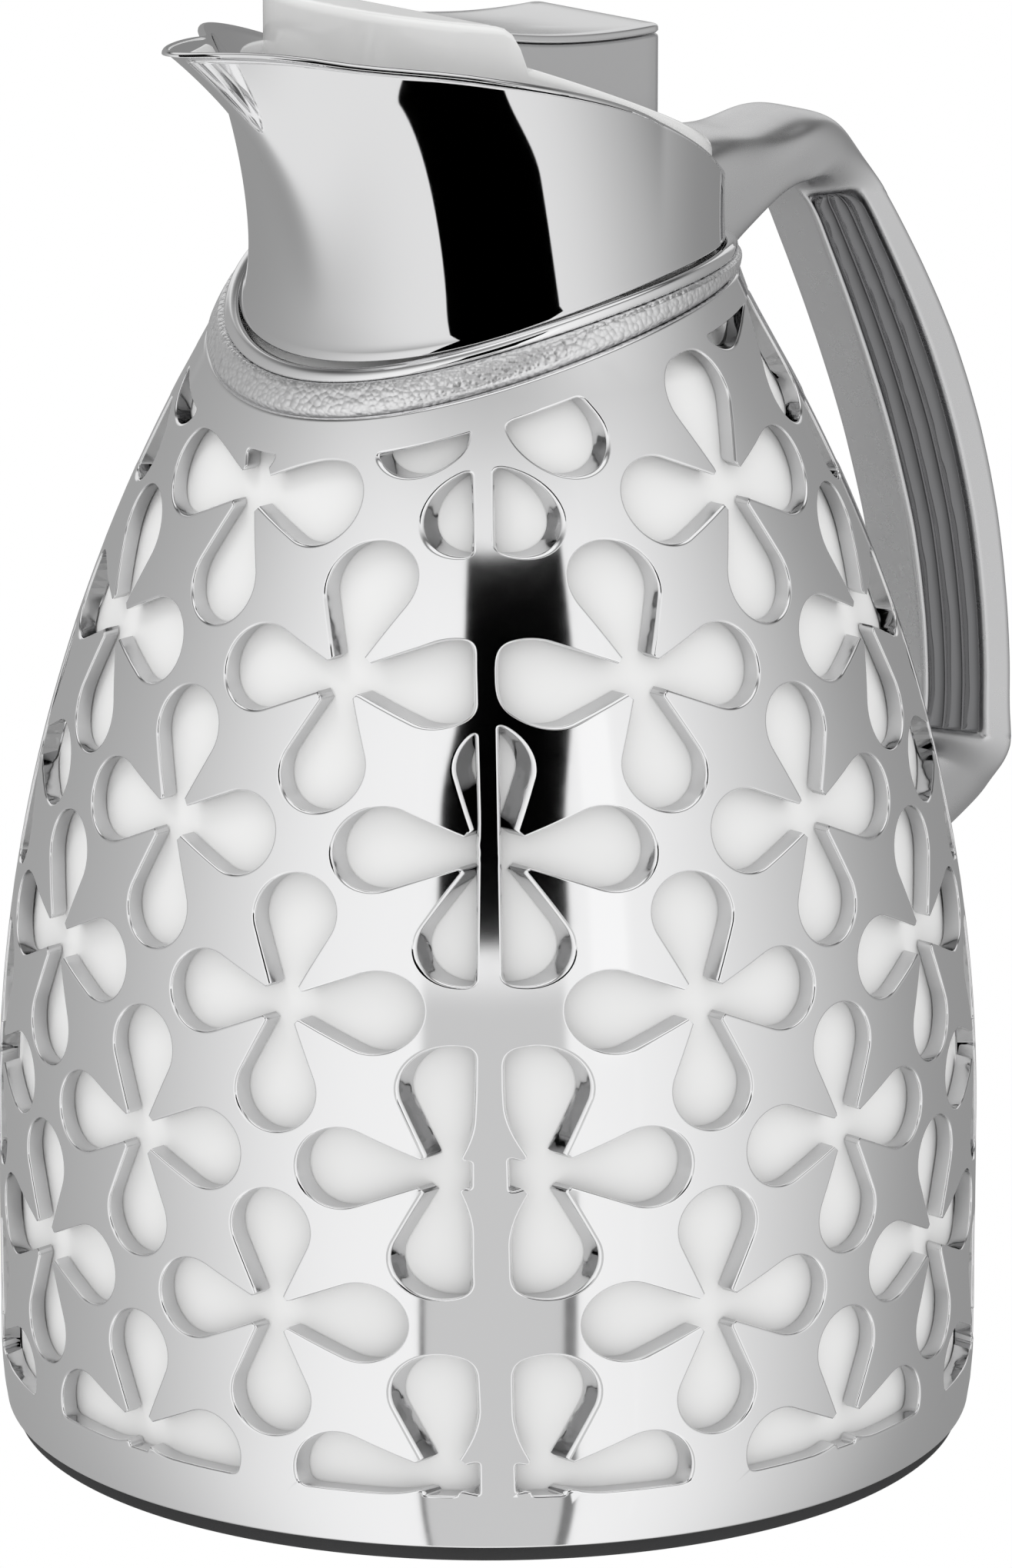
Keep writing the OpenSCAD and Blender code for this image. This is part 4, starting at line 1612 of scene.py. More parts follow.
@dataclass
class Lever:
    """The press lever: a silver body with a bright, dished top plate."""

    x0: float = -17.4
    x1: float = 26.0
    width: float = 28.0
    front_z: float = 235.0
    rear_z: float = 229.6
    sag: float = 1.4
    low: float = 211.0
    front_low: float = 218.0
    plate: float = 1.3
    seam: float = 0.25
    corner: float = 2.0
    wall: float = 1.6
    edge: float = 0.55
    edge_drop: float = 0.62
    bend: tuple = ((0.3, 0.07), (0.12, 0.22), (0.02, 0.42))
    foot_edge: float = 0.3
    dish: float = 0.25
    dish_rings: tuple = (0.85, 0.6, 0.3)

    def plan(self) -> np.ndarray:
        """Returns the lever's outline in plan, with round rear corners.

        Returns:
            The outline.
        """
        w, corner = self.width / 2, self.corner
        plan = [(self.x0, -w), (self.x0, w)]
        for side, turn in ((1, np.linspace(90, 0, 8)), (-1, np.linspace(0, -90, 8))):
            for a in np.radians(turn):
                y = side * (w - corner) + corner * math.sin(a)
                plan.append((self.x1 - corner + corner * math.cos(a), y))
        return split_sides(np.array(plan), 2.0)

    def block(
        self, name: str, upper: float, lower: Callable[[np.ndarray], np.ndarray], wall: float = 0.0
    ) -> bpy.types.Object:
        """Builds a block of the lever's outline between two heights.

        Args:
            name: The object's name.
            upper: How far the block's top lies below the lever's top line.
            lower: Height of the block's underside above x.
            wall: Thickness of its walls where it is open below, 0 for a solid block.

        Returns:
            The block, closed.
        """
        edge = self.plan()
        mid = np.array([(self.x0 + self.x1) / 2, 0.0])
        rings = []
        for shrink, drop in ((self.edge, 0.0), *self.bend, (0.0, self.edge_drop)):
            q = self.inset(edge, shrink)
            rings.append(np.column_stack([q, self.top_z(q[:, 0]) - upper - drop]))
        for f in (0.5, 1.0):
            top = self.top_z(edge[:, 0]) - upper - self.edge_drop
            foot = lower(edge[:, 0]) + self.foot_edge
            rings.append(np.column_stack([edge, top + (foot - top) * f]))
        q = self.inset(edge, self.foot_edge)
        rings.append(np.column_stack([q, lower(q[:, 0])]))
        inner = []
        for f in self.dish_rings:
            q = mid + (self.inset(edge, self.edge) - mid) * f
            inner.append(np.column_stack([q, self.top_z(q[:, 0]) - upper - self.dish * (1 - f * f)]))
        if wall:
            q = self.inset(edge, wall)
            under, roof = lower(q[:, 0]), self.top_z(q[:, 0]) - upper - wall
            rings += [np.column_stack([q, under + (roof - under) * f]) for f in (0, 0.5, 1)]
        base = self.inset(edge, wall) if wall else edge
        for f in self.dish_rings[1:]:
            q = mid + (base - mid) * f
            z = self.top_z(q[:, 0]) - upper - wall if wall else lower(q[:, 0])
            rings.append(np.column_stack([q, z]))
        return face_out(make_object(name, *loft(inner[::-1] + rings, closed=False)))

    def inset(self, edge: np.ndarray, by: float) -> np.ndarray:
        """Returns a plan outline drawn in by a distance.

        Args:
            edge: The outline.
            by: The distance.

        Returns:
            The smaller outline.
        """
        side = np.roll(edge, -1, 0) - np.roll(edge, 1, 0)
        length = np.maximum(np.hypot(side[:, 0], side[:, 1]), 1e-6)
        return edge - np.stack([-side[:, 1], side[:, 0]], 1) / length[:, None] * by

    def top_z(self, x: np.ndarray) -> np.ndarray:
        """Returns the lever's top line above x."""
        t = (np.asarray(x) - self.x0) / (self.x1 - self.x0)
        return self.front_z + (self.rear_z - self.front_z) * t - self.sag * 4 * t * (1 - t)

    def body(self) -> bpy.types.Object:
        """Builds the lever's body.

        Returns:
            The body.
        """
        line_x = (self.x0, -6, 8, self.x1)
        line_z = (self.front_low + 3, self.front_low, self.low, self.low)
        upper = self.plate + self.seam
        return self.block("lever_side_body", upper, lambda x: np.interp(x, line_x, line_z), self.wall)

    def plate_piece(self) -> bpy.types.Object:
        """Builds the top plate, dished lengthwise and a little across."""
        return self.block("lever_top_plate", 0.0, lambda x: self.top_z(x) - self.plate)

    def dress(self) -> None:
        """Adds the lever's body and its top plate."""
        finished(self.body(), Body.LEVER, Look.SATIN_CHROME, "lever_body")
        finished(self.plate_piece(), Body.LEVER, Look.PLATE_CHROME, "lever_plate")


# ---- handle --------------------------------------------------------------


@dataclass
class Handle:
    """The jug's handle: a tube from the collar's crown, a tapering grip and a lower arm."""

    outer_line: tuple = (
        (34, 205), (39.5, 205.7), (44.9, 206.7), (50.6, 207), (56.4, 206.2), (62.6, 206.6), (68.5, 207.5),
        (71.7, 207.5), (74.6, 206.6), (76.7, 205), (78.6, 202.6), (80.3, 200.2), (81.5, 197.7), (82.5, 195.4),
        (83.6, 193.4), (86.2, 189.8), (88.7, 186.3), (93.5, 179.2), (98, 171.9), (102.2, 164.4),
        (105.8, 156.6), (109, 148.6), (111.6, 140.5), (113.8, 132.2), (115.4, 123.8), (116.6, 115.3),
        (117.1, 109.9), (117.4, 105.6), (117.5, 102.1), (117.4, 99.1), (117.6, 95.5), (118.5, 91.2),
        (118, 86.4), (114.8, 82.8), (110.7, 80.7), (102.9, 76.8), (94.7, 74.6), (87.3, 71.2), (80.1, 67.1),
        (72.9, 63),
    )
    inner_line: tuple = (
        (34, 180), (37.5, 182), (41.5, 182.9), (45.2, 185.2), (48.3, 187.9), (51.6, 190.3), (54.9, 192.6),
        (56.7, 193.7), (58.4, 194.7), (60.2, 195.6), (62.1, 196.2), (64, 196.4), (65.7, 196), (67.4, 194.9),
        (69.1, 193.5), (72.1, 190), (73.9, 186.3), (77.4, 179.6), (81.3, 171.8), (85, 163.9), (88.5, 156),
        (91.7, 148.1), (94.5, 140), (97.1, 131.9), (98.9, 123.5), (100.3, 115.1), (100.8, 109.8),
        (101.1, 105.5), (101.2, 102.2), (101.1, 100), (100.8, 97.9), (100, 95.9), (98.6, 94.4), (96.7, 93.5),
        (94.5, 92.9), (89.7, 92.3), (84.9, 91.7), (80.2, 91.2), (75.4, 90.6), (70.6, 90.1),
    )
    depth: float = 15.4
    outer_half: float = 11.0
    inner_half: float = 5.4
    stations: int = 330
    passes: int = 24
    section: int = 72
    grip_top: tuple = (65.0, 196.3)
    grip_foot: tuple = (100.9, 95.0)
    recess: float = 1.5
    recess_from: float = 5.2
    insert_share: float = 0.71
    insert_from: float = 5.9
    insert_sunk: float = 0.75
    insert_thick: float = 2.4
    flutes: int = 3
    recess_top: tuple = (9.0, 4.6, 0.05)
    insert_top: tuple = (9.6, 4.2, 0.04)
    insert_end: float = 1.1
    insert_lip: float = 0.7
    blend_in: tuple = (-4.0, 10.0)
    blend_out: tuple = (-6.0, 7.0)
    flat_from: float = 0.045
    flat_share: float = 0.9
    bury: float = 0.1
    insert_fade: float = 0.7
    flute_power: float = 0.7
    collar_z: float = 194.0
    collar_step: float = 2.1
    tube_flat: float = 0.6
    tube_round: float = 0.5
    grip_rows: tuple = (0.0, 0.012, 0.02, 0.2, 0.4, 0.6)

    def spine(self) -> tuple[np.ndarray, np.ndarray]:
        """Returns matching points of the handle's outer and inner edges, from crown to lower arm.

        Returns:
            The outer and the inner points.
        """
        o, i = np.array(self.outer_line), np.array(self.inner_line)
        s = marks(np.hypot(*np.diff((o + i) / 2, axis=0).T))
        fine = np.linspace(0, s[-1], self.stations)
        o, i = sampled(o, fine, s), sampled(i, fine, s)
        for _ in range(self.passes):
            for line in (o, i):
                line[1:-1] = (line[:-2] + 2 * line[1:-1] + line[2:]) / 4
        return o, i

    def along(self, o: np.ndarray, i: np.ndarray) -> tuple[np.ndarray, float]:
        """Returns how far each station lies below the grip's upper end, and how far its foot lies.

        Args:
            o: The outer points of the stations.
            i: Their inner points.

        Returns:
            The stations' distances and the foot's.
        """
        s = marks(np.hypot(*np.diff((o + i) / 2, axis=0).T))
        top, foot = (int(np.argmin(np.hypot(*(i - at).T))) for at in (self.grip_top, self.grip_foot))
        return s - s[top], s[foot] - s[top]

    def even(self, line: np.ndarray, count: int, least: float = 0.0) -> np.ndarray:
        """Returns points of half a section, spaced evenly along it.

        Args:
            line: The half section, as (share of depth, half width).
            count: The number of points.
            least: The least length that each of its steps counts for.

        Returns:
            The spaced points.
        """
        steps = np.maximum(np.hypot(np.diff(line[:, 0]) * self.depth, np.diff(line[:, 1])), least)
        distance = marks(steps)
        return sampled(line, np.linspace(0, distance[-1], count), distance)

    def tube(self) -> np.ndarray:
        """Returns half of the crown's rounded section as (share of depth, half width).

        Returns:
            The half section, from the outer edge to the inner one.
        """
        t = np.linspace(0, math.pi, 121)
        c, q = np.cos(t), np.sin(t)
        w = 0.5 - 0.5 * np.sign(c) * np.abs(c) ** self.tube_flat
        y = self.outer_half * np.abs(q) ** self.tube_round
        return self.even(np.stack([w, y], 1), self.section)

    def side(self, v: np.ndarray) -> tuple[np.ndarray, np.ndarray]:
        """Returns the share of depth and the half width at v along the grip's flat side."""
        across = self.inner_half + 0.2 + (self.outer_half - self.inner_half - 0.25) * v
        return self.flat_from + self.flat_share * v, across

    def round_end(self, s: float, end: float, over: float, least: float) -> float:
        """Returns the insert's share of its full width at s, where its upper end is round.

        Args:
            s: Distance below the grip's upper end.
            end: Where the full width begins.
            over: The round end's length.
            least: The least share, squared.

        Returns:
            The share.
        """
        return math.sqrt(max(1 - ((end - s) / over) ** 2, least)) if s < end else 1.0

    def grip(self, sunk: float, wide: float) -> np.ndarray:
        """Returns half of the grip's section.

        Args:
            sunk: How deep its side is sunk over the insert's share.
            wide: Share of the insert's full width that is sunk.

        Returns:
            The half section, from the outer edge to the inner one.
        """
        inner, outer, share = self.inner_half, self.outer_half, self.insert_share
        line = [(0.0, 0.0), (0.0, 2.0), (0.0, inner - 0.7), (0.006, inner - 0.25), (0.02, inner)]
        for v in (*self.grip_rows, share - 0.008, share, 0.8, 0.9, 1.0):
            low = self.grip_rows[1] < v < share - 0.004
            w, y = self.side(0.5 * share + (v - 0.5 * share) * wide if low else v)
            line.append((w, y - sunk if low else y))
        line += [(0.962, outer - 0.12), (0.978, outer - 0.5), (0.987, outer - 1.3)]
        line += [(0.993, 7.0), (0.998, 3.5), (1.0, 0.0)]
        return self.even(np.array(line), self.section, 0.35)

    def build(self) -> bpy.types.Object:
        """Builds the handle's shell, with its ends shaped to the jug.

        Returns:
            The handle object.
        """
        o, i = self.spine()
        marked, foot = self.along(o, i)
        tube = self.tube()
        rings = []
        for s, outer, inner in zip(marked, o, i):
            into = ease(ramp(s, *self.blend_in) * ramp(foot - s, *self.blend_out))
            sunk = self.recess * ramp(s, self.recess_from, 0.5) * ramp(foot - s, 0.5, 0.5)
            half = tube * (1 - into) + self.grip(sunk, self.round_end(s, *self.recess_top)) * into
            full = np.vstack([half, half[-2:0:-1] * [1, -1]])
            p = inner + (outer - inner) * full[:, :1]
            rings.append(np.stack([p[:, 0], full[:, 1], p[:, 1]], 1))
        for ring in (rings[0], rings[-1]):
            z = ring[:, 2]
            r = SKIN.radius(z) + self.bury - self.collar_step * ramp(z, self.collar_z, 2.0)
            ring[:, 0] = np.sqrt(r * r - ring[:, 1] ** 2)
        return face_out(make_object("handle_tube", *loft(rings, closed=False)))

    def insert(self, side: int) -> bpy.types.Object:
        """Builds the glossy fluted insert of one side.

        Args:
            side: 1 for +Y, -1 for -Y.

        Returns:
            The insert.
        """
        o, i = self.spine()
        marked, foot = self.along(o, i)
        start, end = self.insert_from, foot - self.insert_end
        rows = [np.linspace(start, 11, 14), np.linspace(12, end - 1, 150), [end - 0.5, end - 0.15, end]]
        at = np.concatenate(rows)
        mid = 0.5 * self.insert_share
        u = np.linspace(-1, 1, 61)
        flute = np.abs(np.cos((u + 1) / 2 * math.pi * self.flutes + QUARTER)) ** self.flute_power
        rings = []
        for s, outer, inner in zip(at, sampled(o, at, marked), sampled(i, at, marked)):
            v = mid + u * self.round_end(s, *self.insert_top) * (mid - 0.03)
            fade = float(ramp(min(s - start, end - s), 0.0, self.insert_fade)) ** 0.5
            w, y = self.side(v)
            y = y - self.insert_sunk * (1 - flute * fade)
            y[[0, -1]] -= self.insert_lip
            p = inner + (outer - inner) * w[:, None]
            top = np.stack([p[:, 0], side * y, p[:, 1]], 1)
            back = top[::-1].copy()
            back[:, 1] = side * (self.side(v[::-1])[1] - self.insert_thick)
            rings.append(np.vstack([top, back]))
        name = "grip_insert_right" if side > 0 else "grip_insert_left"
        return face_out(make_object(name, *loft(rings, closed=False)))

    def dress(self) -> None:
        """Adds the handle's shell and both inserts."""
        finished(self.build(), Body.JUG, Look.HANDLE_SATIN, "handle_shell", "handle_inner")
        finished(self.insert(1), Body.JUG, Look.DARK_CHROME, "grip_right")
        finished(self.insert(-1), Body.JUG, Look.DARK_CHROME, "grip_left")


# ---- repeated parts and the spring ---------------------------------------


@dataclass
class RingOfCopies:
    """A Geometry Nodes pattern that repeats a template round the jug's axis."""

    count: int = 3
    radius: float = 62.0
    first: float = 30.0

    def tree(self, material: bpy.types.Material) -> bpy.types.NodeTree:
        """Builds the node group.

        Args:
            material: The copies' material.

        Returns:
            The group, with inputs for the copies' number, ring radius and first angle.
        """
        tree = bpy.data.node_groups.new("ring_of_copies", "GeometryNodeTree")
        face = tree.interface
        kinds = {"Geometry": "Geometry", "Count": "Int", "Ring Radius": "Float", "First Angle": "Float"}
        for name, kind in kinds.items():
            face.new_socket(name, in_out="INPUT", socket_type="NodeSocket" + kind)
        face.new_socket("Geometry", in_out="OUTPUT", socket_type="NodeSocketGeometry")
        kit = Kit(tree)
        template, count, radius, first = kit.outputs("NodeGroupInput")[:4]
        still = (0.0, 0.0, 0.0)
        line = kit.node("GeometryNodeMeshLine", {"mode": "OFFSET"}, {"Count": count, "Offset": still})
        number = kit.node("GeometryNodeInputIndex")
        share = kit.math("DIVIDE", number, count)
        turn = kit.node("ShaderNodeCombineXYZ", {}, {"Z": share * math.tau + first})
        out = kit.node("ShaderNodeCombineXYZ", {}, {"X": radius})
        spin = {"rotation_type": "EULER_XYZ"}
        place = kit.node("ShaderNodeVectorRotate", spin, {"Vector": out, "Rotation": turn})
        dots = kit.node("GeometryNodeSetPosition", {}, {"Geometry": line, "Position": place})
        ins = {"Points": dots, "Instance": template, "Rotation": turn}
        copies = kit.node("GeometryNodeInstanceOnPoints", {}, ins)
        solid = kit.node("GeometryNodeRealizeInstances", {}, {"Geometry": copies})
        dressed = kit.node("GeometryNodeSetMaterial", {}, {"Geometry": solid, "Material": material})
        kit.node("NodeGroupOutput", {}, {0: dressed})
        return tree

    def apply(self, obj: bpy.types.Object, material: bpy.types.Material) -> bpy.types.Object:
        """Replaces a template's mesh with its copies.

        Args:
            obj: The template, built round the origin.
            material: The copies' material.

        Returns:
            The same object, with a plain mesh.
        """
        mod = obj.modifiers.new("ring_of_copies", "NODES")
        mod.node_group = self.tree(material)
        values = {"Count": self.count, "Ring Radius": self.radius * MM}
        values["First Angle"] = math.radians(self.first)
        for item in mod.node_group.interface.items_tree:
            if item.name in values:
                mod[item.identifier] = values[item.name]
        return baked(obj)


@dataclass
class Screw:
    """A pan-head screw with a cross recess, its head downwards."""

    head_r: float = 2.9
    head_z: float = 1.8
    head_h: float = 1.6
    shank_r: float = 1.5
    shank_top: float = 11.2
    arm: float = 1.7
    arm_half: float = 0.34
    recess: float = 0.85
    pitch: float = 0.35
    thread: float = 0.22
    edge: float = 0.1
    recess_edge: float = 0.06
    thread_from: float = 0.45
    thread_room: float = 0.6
    point: float = 0.5
    head_line: tuple = ((2.0, 0.02), (2.5, 0.16), (2.78, 0.42))

    def cross(self, angle: np.ndarray) -> np.ndarray:
        """Returns the radius of the cross recess at angles.

        Args:
            angle: Angles round the screw.

        Returns:
            A radius for each angle.
        """
        c, s = (np.maximum(np.abs(v), 1e-6) for v in (np.cos(angle), np.sin(angle)))
        flat = np.minimum(self.arm_half / s, self.arm / c)
        tall = np.minimum(self.arm_half / c, self.arm / s)
        return np.maximum(flat, tall)

    def build(self) -> bpy.types.Object:
        """Builds the screw round the Z axis.

        Returns:
            The screw.
        """
        a = around(96)
        z, top, cross = self.head_z, self.head_z + self.head_h, self.cross(a)
        rings = [(cross * 0.3, z + self.recess), (cross * 0.86, z + self.recess * 0.9)]
        rings += [(cross, z + self.recess_edge), (cross + self.edge, z)]
        rings += [(r, z + up) for r, up in self.head_line] + [(self.head_r, z + self.recess)]
        rings += [(self.head_r, top - self.edge), (self.head_r - self.edge, top), (self.shank_r, top)]
        for k in range(int((self.shank_top - top - self.thread_room) / self.pitch)):
            rings.append((self.shank_r - self.thread * (k % 2), top + self.thread_from + self.pitch * k))
        rings.append((self.shank_r - self.point, self.shank_top))
        lines = [polar(r, a, z) for r, z in rings]
        return face_out(make_object("base_cover_screws", *loft(lines, closed=False)))


@dataclass
class Spring:
    """The return spring round the valve rod, with closed and ground ends."""

    radius: float = 3.7
    wire: float = 0.42
    foot: float = 201.85
    head: float = 223.4
    turns: float = 9.5
    closed: float = 1.5
    pressed: float = 0.86
    end_gap: float = 1.06
    softness: float = 0.25
    steps: int = 640

    def build(self) -> bpy.types.Object:
        """Builds the coil as a round wire.

        Returns:
            The coil.
        """
        t = np.linspace(0, 1, self.steps)
        low, high = self.foot + self.wire, self.head - self.wire
        ends = self.closed / self.turns
        pitch = 2 * self.wire * self.end_gap
        z = low + pitch * self.closed * (ramp(t, 0, ends) + ramp(t, 1 - ends, ends))
        rise = ramp(t, ends, 1 - 2 * ends)
        climb = ease(rise) * self.softness + rise * (1 - self.softness)
        z = z + (high - low - 2 * self.closed * pitch) * climb
        a = t * self.turns * math.tau
        mid, side = polar(self.radius, a, z), polar(1.0, a, 0.0)
        along = np.gradient(mid, axis=0)
        up = np.cross(unit(along), side)
        turn = around(14)
        rings = []
        for k in range(len(t)):
            wire = np.outer(np.cos(turn), side[k]) + np.outer(np.sin(turn), up[k])
            rings.append(mid[k] + self.wire * wire)
        return face_out(make_object("return_spring_coil", *loft(rings, closed=False)))

    def dress(self) -> None:
        """Adds the spring, with a mesh of its own."""
        spring = finished(self.build(), Body.STOPPER, Look.STEEL, "return_spring")
        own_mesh(spring)


# ---- studio --------------------------------------------------------------

CAMERA = Vector((-1.15558, -1.10663, 0.557))
CAMERA_AZIMUTH = math.atan2(CAMERA.y, CAMERA.x)
MIDDLE = Vector((0, 0, 0.12))


class LightField:
    """Directions round the jug as sockets: degrees rightwards of the camera, and above the horizon."""

    def __init__(self, kit: Kit, radius: float) -> None:
        """Reads the directions from a dome's object coordinates.

        Args:
            kit: The material's kit.
            radius: The dome's radius in metres.
        """
        self.kit = kit
        coords = kit.node("ShaderNodeTexCoord", out="Object")
        about = {"Vector": coords, "Angle": -CAMERA_AZIMUTH}
        turned = kit.node("ShaderNodeVectorRotate", {"rotation_type": "Z_AXIS"}, about)
        x, y, z = kit.outputs("ShaderNodeSeparateXYZ", {0: turned})
        self.side = kit.math("ARCTAN2", y, x) * math.degrees(1)
        self.up = kit.math("ARCSINE", z * (1 / radius)) * math.degrees(1)

    def step(self, value: Sock, start: float, end: float) -> Sock:
        """Returns 0 below start and 1 above end, smooth in between."""
        ins = {"Value": value, 1: start, 2: end, 3: 0.0, 4: 1.0}
        return self.kit.node("ShaderNodeMapRange", {"interpolation_type": "SMOOTHSTEP"}, ins)

    def window(self, value: Sock, low: float, high: float, soft: float) -> Sock:
        """Returns 1 between low and high, and 0 outside."""
        return self.step(value, low - soft, low + soft) * (1 - self.step(value, high - soft, high + soft))

    def fall(self, value: Sock, half: float, power: float) -> Sock:
        """Returns a bell that is 1 at 0 and a half at half."""
        size = self.kit.math("ABSOLUTE", value * (1 / half))
        return self.kit.math("DIVIDE", 1.0, size**power + 1)


def dome(name: str, radius: float) -> bpy.types.Object:
    """Makes a sphere round the jug that only mirrors see.

    Args:
        name: The object's name.
        radius: Its radius in metres.

    Returns:
        The sphere.
    """
    rows = np.radians(np.linspace(-89.5, 89.5, 46))
    rings = [polar(math.cos(e), around(96), math.sin(e)) * radius / MM for e in rows]
    obj = make_object(name, *loft(rings, closed=False))
    for flag in ("visible_camera", "visible_diffuse", "visible_shadow", "visible_transmission"):
        setattr(obj, flag, False)
    obj.location = MIDDLE
    return obj


@dataclass(frozen=True)
class Bend:
    """An edge in the tent, in degrees rightwards, that moves over between pairs of elevations."""

    base: float
    moves: tuple

    def at(self, ways: LightField) -> Sock:
        """Returns the edge's place at every elevation.

        Args:
            ways: The tent's directions.

        Returns:
            The edge, in degrees rightwards of the camera.
        """
        side = self.base
        for by, start, end in self.moves:
            side = ways.step(ways.up, start, end) * by + side
        return side


@dataclass
class Studio:
    """The camera, the white surroundings, the lamps and the light tent that the chrome mirrors."""

    radius: float = 4.0
    gap: float = 0.2
    ambient: float = 0.9
    floor_level: float = 0.34
    peak: float = 0.6
    collar_share: float = 0.84
    spread: float = 74.0
    top: float = 46.0
    open_left: Bend = Bend(-5.5, ((-12.0, -60.0, -52.0),))
    open_right: Bend = Bend(-7.0, ((10.5, -48.0, -30.0), (31.0, -62.0, -46.0)))
    slot_left: Bend = Bend(-12.0, ((5.0, 15.0, 25.0),))
    slot_right: Bend = Bend(19.5, ((6.0, 12.0, 27.0),))
    open_soft: float = 0.3
    open_top: tuple = (44, 46)
    open_foot: tuple = (-60, -58.5)
    slot_soft: float = 0.6
    slot_up: tuple = (5.0, 34.0, 0.4)
    panel_side: tuple = (-15.0, 18.0, 1.2)
    line_sides: tuple = ((-15.6, -14.4, 0.5), (17.5, 20.5, 0.6))
    strip_side: tuple = (25.0, 33.0, 1.5)
    strip_up: tuple = (-3.0, 22.0, 2.0)
    behind_side: tuple = (146, 160)
    behind_up: tuple = (4.0, 40.0, 5.0)
    right_from: tuple = (80, 125)
    roof_from: tuple = (52, 68)
    roof: float = 0.92
    right_dim: float = 0.18
    strip_level: float = 0.14
    behind_level: float = 0.45
    panel_dim: float = 0.36
    line_dim: float = 0.8
    view: tuple = (0.69640, 0.66443, -0.27122)
    roll: float = 0.0006
    focal_px: float = 13306.0
    shift_px: float = -3.43
    film: float = 36.0
    lamps: tuple = (("key", -75, 55, 3.0, 0.6), ("fill", 70, 35, 1.2, 1.2))
    lamp_distance: float = 1.8

    def camera(self) -> None:
        """Sets up the camera."""
        f = Vector(self.view).normalized()
        r = f.cross(Vector((0, 0, 1))).normalized()
        cam = bpy.data.cameras.new("camera")
        obj = bpy.data.objects.new("camera", cam)
        bpy.context.scene.collection.objects.link(obj)
        m = Matrix((r, r.cross(f), -f)).transposed().to_4x4() @ Matrix.Rotation(self.roll, 4, "Z")
        m.translation = CAMERA
        obj.matrix_world = m
        cam.sensor_fit = "VERTICAL"
        cam.sensor_height = self.film
        cam.lens = self.focal_px * self.film / IMAGE_H
        cam.shift_y = self.shift_px / IMAGE_H
        cam.clip_end = 50
        bpy.context.scene.camera = obj

    def world(self) -> None:
        """Makes the surroundings white for the eye and for mirrors, and a little lower for matt faces."""
        world = bpy.data.worlds.new("surroundings")
        bpy.context.scene.world = world
        world.use_nodes = True
        kit = Kit(world.node_tree)
        rays = ("Is Camera Ray", "Is Glossy Ray", "Is Transmission Ray")
        eye, gloss, through = (kit.node("ShaderNodeLightPath", out=ray) for ray in rays)
        level = kit.blend(eye + gloss + through, (self.ambient,) * 3, (1.0, 1.0, 1.0))
        back = kit.node("ShaderNodeBackground", {}, {"Color": level, "Strength": 1.0})
        kit.node("ShaderNodeOutputWorld", {}, {"Surface": back})

    def tent_level(self, ways: LightField) -> Sock:
        """Returns how bright the tent is: brightest round the camera, darker to the sides, back and top.

        Args:
            ways: The tent's directions.

        Returns:
            The brightness.
        """
        sides = ways.fall(ways.side, self.spread, 4.0) * self.peak + self.floor_level
        high = ways.fall(ways.step(ways.up, 0, 90) * 90, self.top, 6.0)
        dim = 1 - ways.step(ways.side, *self.right_from) * self.right_dim
        return sides * high * dim + ways.step(ways.up, *self.roof_from) * self.roof

    def opening(self, ways: LightField) -> Sock:
        """Returns 1 in the tent's wide dark opening, which only the collar mirrors whole."""
        wide = ways.window(ways.side, self.open_left.at(ways), self.open_right.at(ways), self.open_soft)
        return wide * (1 - ways.step(ways.up, *self.open_top)) * ways.step(ways.up, *self.open_foot)

    def front(self, ways: LightField) -> Sock:
        """Returns the share of the tent's light at the casing's front: a dark slot over a grey panel.

        Args:
            ways: The tent's directions.

        Returns:
            The share that is left.
        """
        slot = ways.window(ways.side, self.slot_left.at(ways), self.slot_right.at(ways), self.slot_soft)
        slot = slot * ways.window(ways.up, *self.slot_up)
        low = 1 - ways.step(ways.up, 0.0, 4.0)
        panel = ways.window(ways.side, *self.panel_side) * low * self.panel_dim
        left, right = (ways.window(ways.side, *line) for line in self.line_sides)
        lines = (left + right) * (1 - ways.step(ways.up, -16, -12))
        return (1 - slot) * (1 - panel) * (1 - lines * self.line_dim)

    def strip(self, ways: LightField) -> Sock:
        """Returns the light of a bright strip beside the dark slot."""
        across = ways.window(ways.side, *self.strip_side)
        return across * ways.window(ways.up, *self.strip_up) * self.strip_level

    def behind(self, ways: LightField) -> Sock:
        """Returns the light of a wall behind the jug, low over the horizon, for its flat tops.

        Args:
            ways: The tent's directions.

        Returns:
            The light that it adds.
        """
        near, far = self.behind_side
        wide = ways.step(ways.side, near, far) + 1 - ways.step(ways.side, -far, -near)
        return wide * ways.window(ways.up, *self.behind_up) * self.behind_level

    def cloth(self, name: str, radius: float) -> tuple[bpy.types.Object, Kit]:
        """Makes one layer of the tent, with an empty material, and returns the material's kit too.

        Args:
            name: The layer's name.
            radius: Its radius in metres.
        """
        layer = dome(name, radius)
        mat = bpy.data.materials.new(name)
        mat.use_nodes = True
        layer.data.materials.append(mat)
        layer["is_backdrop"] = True
        return layer, Kit(mat.node_tree)

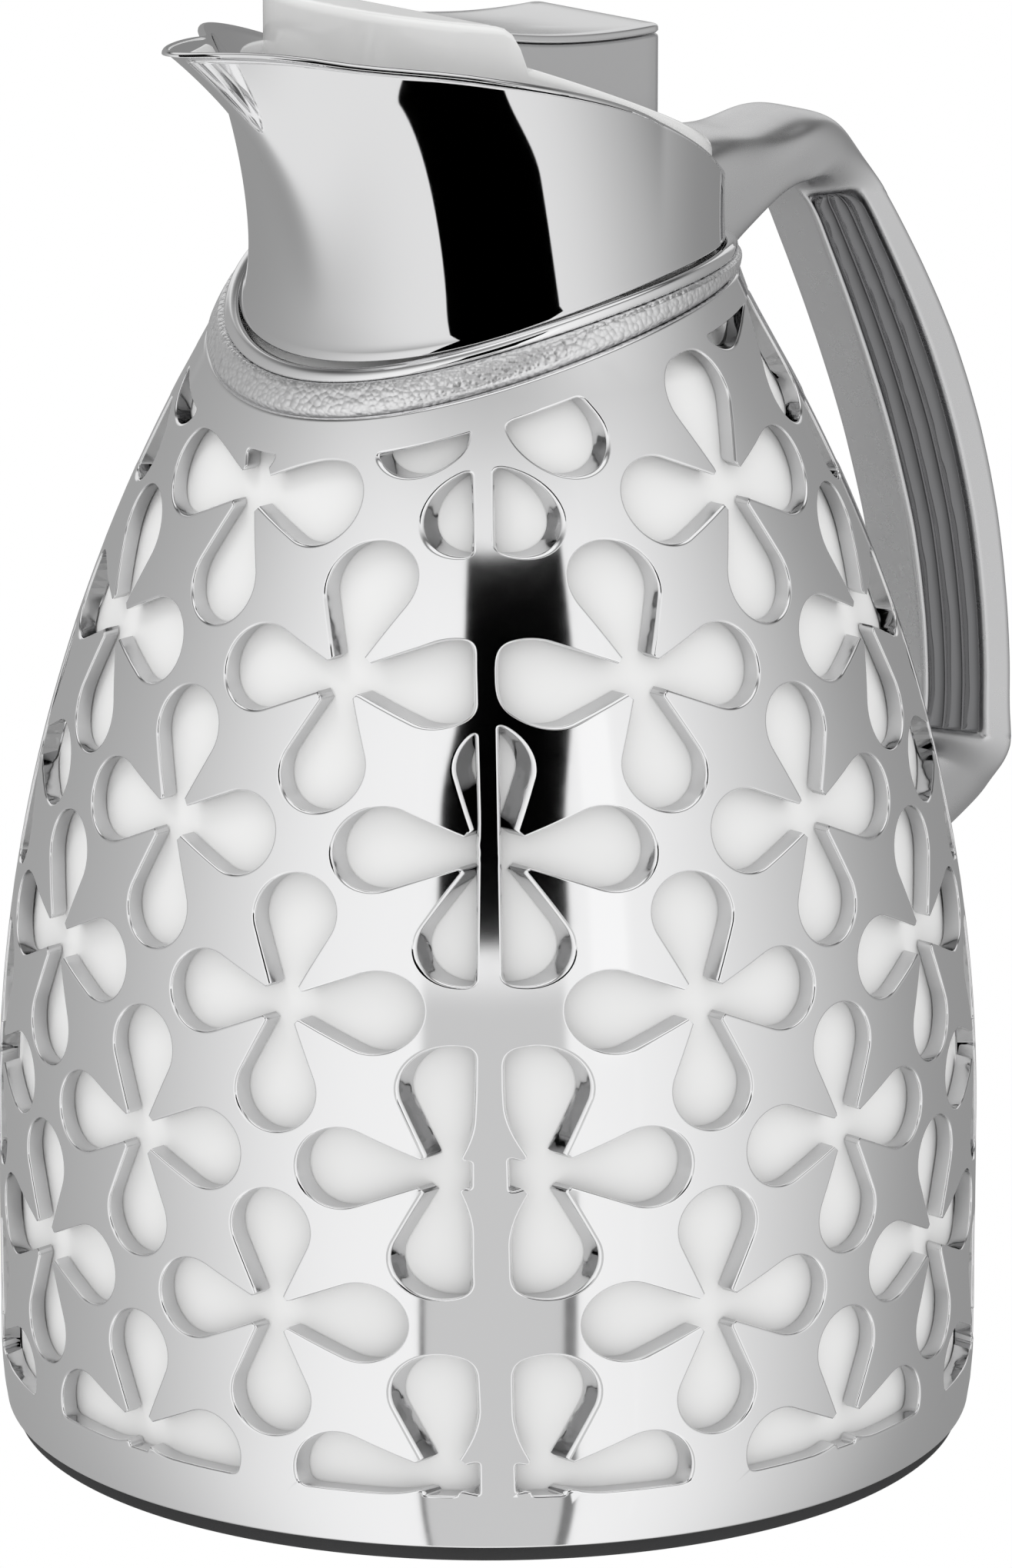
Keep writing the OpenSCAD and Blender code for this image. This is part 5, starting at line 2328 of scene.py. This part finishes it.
    def tent(self, collar: bpy.types.Object) -> None:
        """Builds the tent's cloth, which every piece mirrors, and a lining that adds light for all but one.

        Args:
            collar: The piece that does not mirror the lining, so that it sees the whole dark opening.
        """
        _, kit = self.cloth("light_tent", self.radius)
        ways = LightField(kit, self.radius)
        level = self.tent_level(ways) * (self.collar_share * (1 - self.opening(ways)))
        kit.node("ShaderNodeOutputMaterial", {}, {"Surface": kit.glow(level)})
        lining, kit = self.cloth("tent_lining", self.radius - self.gap)
        ways = LightField(kit, self.radius - self.gap)
        wide = self.opening(ways)
        rest = self.tent_level(ways) * (1 - self.collar_share) * (1 - wide)
        level = self.tent_level(ways) * wide * self.front(ways) + rest + self.strip(ways) + self.behind(ways)
        clear = kit.node("ShaderNodeBsdfTransparent")
        both = kit.node("ShaderNodeAddShader", {}, {0: kit.glow(level), 1: clear})
        kit.node("ShaderNodeOutputMaterial", {}, {"Surface": both})
        seen_by = bpy.data.collections.new("all_but_collar")
        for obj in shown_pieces():
            if obj.name != collar.name:
                seen_by.objects.link(obj)
        lining.light_linking.receiver_collection = seen_by

    def build(self, collar: bpy.types.Object) -> None:
        """Builds the whole studio.

        Args:
            collar: The collar, which mirrors no lining.
        """
        self.camera()
        self.world()
        self.tent(collar)
        for name, azimuth, elevation, watts, size in self.lamps:
            lamp = bpy.data.lights.new("lamp_" + name, "AREA")
            lamp.energy, lamp.size = watts, size
            obj = bpy.data.objects.new("lamp_" + name, lamp)
            bpy.context.scene.collection.objects.link(obj)
            a, e = math.radians(azimuth) + CAMERA_AZIMUTH, math.radians(elevation)
            away = Vector((math.cos(a) * math.cos(e), math.sin(a) * math.cos(e), math.sin(e)))
            obj.location = MIDDLE + away * self.lamp_distance
            obj.rotation_euler = (-away).to_track_quat("-Z", "Y").to_euler()
            obj.visible_glossy = False
            obj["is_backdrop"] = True
        bpy.context.scene.view_settings.view_transform = "Standard"


# ---- the whole jug -------------------------------------------------------


def dress_cad(frame: dict) -> None:
    """Gives every CAD node the finish of its own slot.
    """
    looks = {look.name.lower(): look for look in Look}
    for node in frame["nodes"].values():
        for s in node.material_slots:
            name = s.material.name.split(".")[0] if s.material else "steel"
            if name not in looks:
                LOG.warning("no finish for slot %s", name)
            s.material = PALETTE.get(looks.get(name, Look.STEEL))


def main() -> None:
    """Builds the scene round the frame."""
    logging.basicConfig(level=logging.INFO)
    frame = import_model()
    dress_cad(frame)
    OpenworkCasing().dress()
    Sleeve().dress()
    Neck().dress()
    collar = Collar().dress()
    Base().dress()
    Spring().dress()
    Lid().dress()
    Lever().dress()
    Handle().dress()
    Studio().build(collar)


if __name__ == "__main__":
    main()
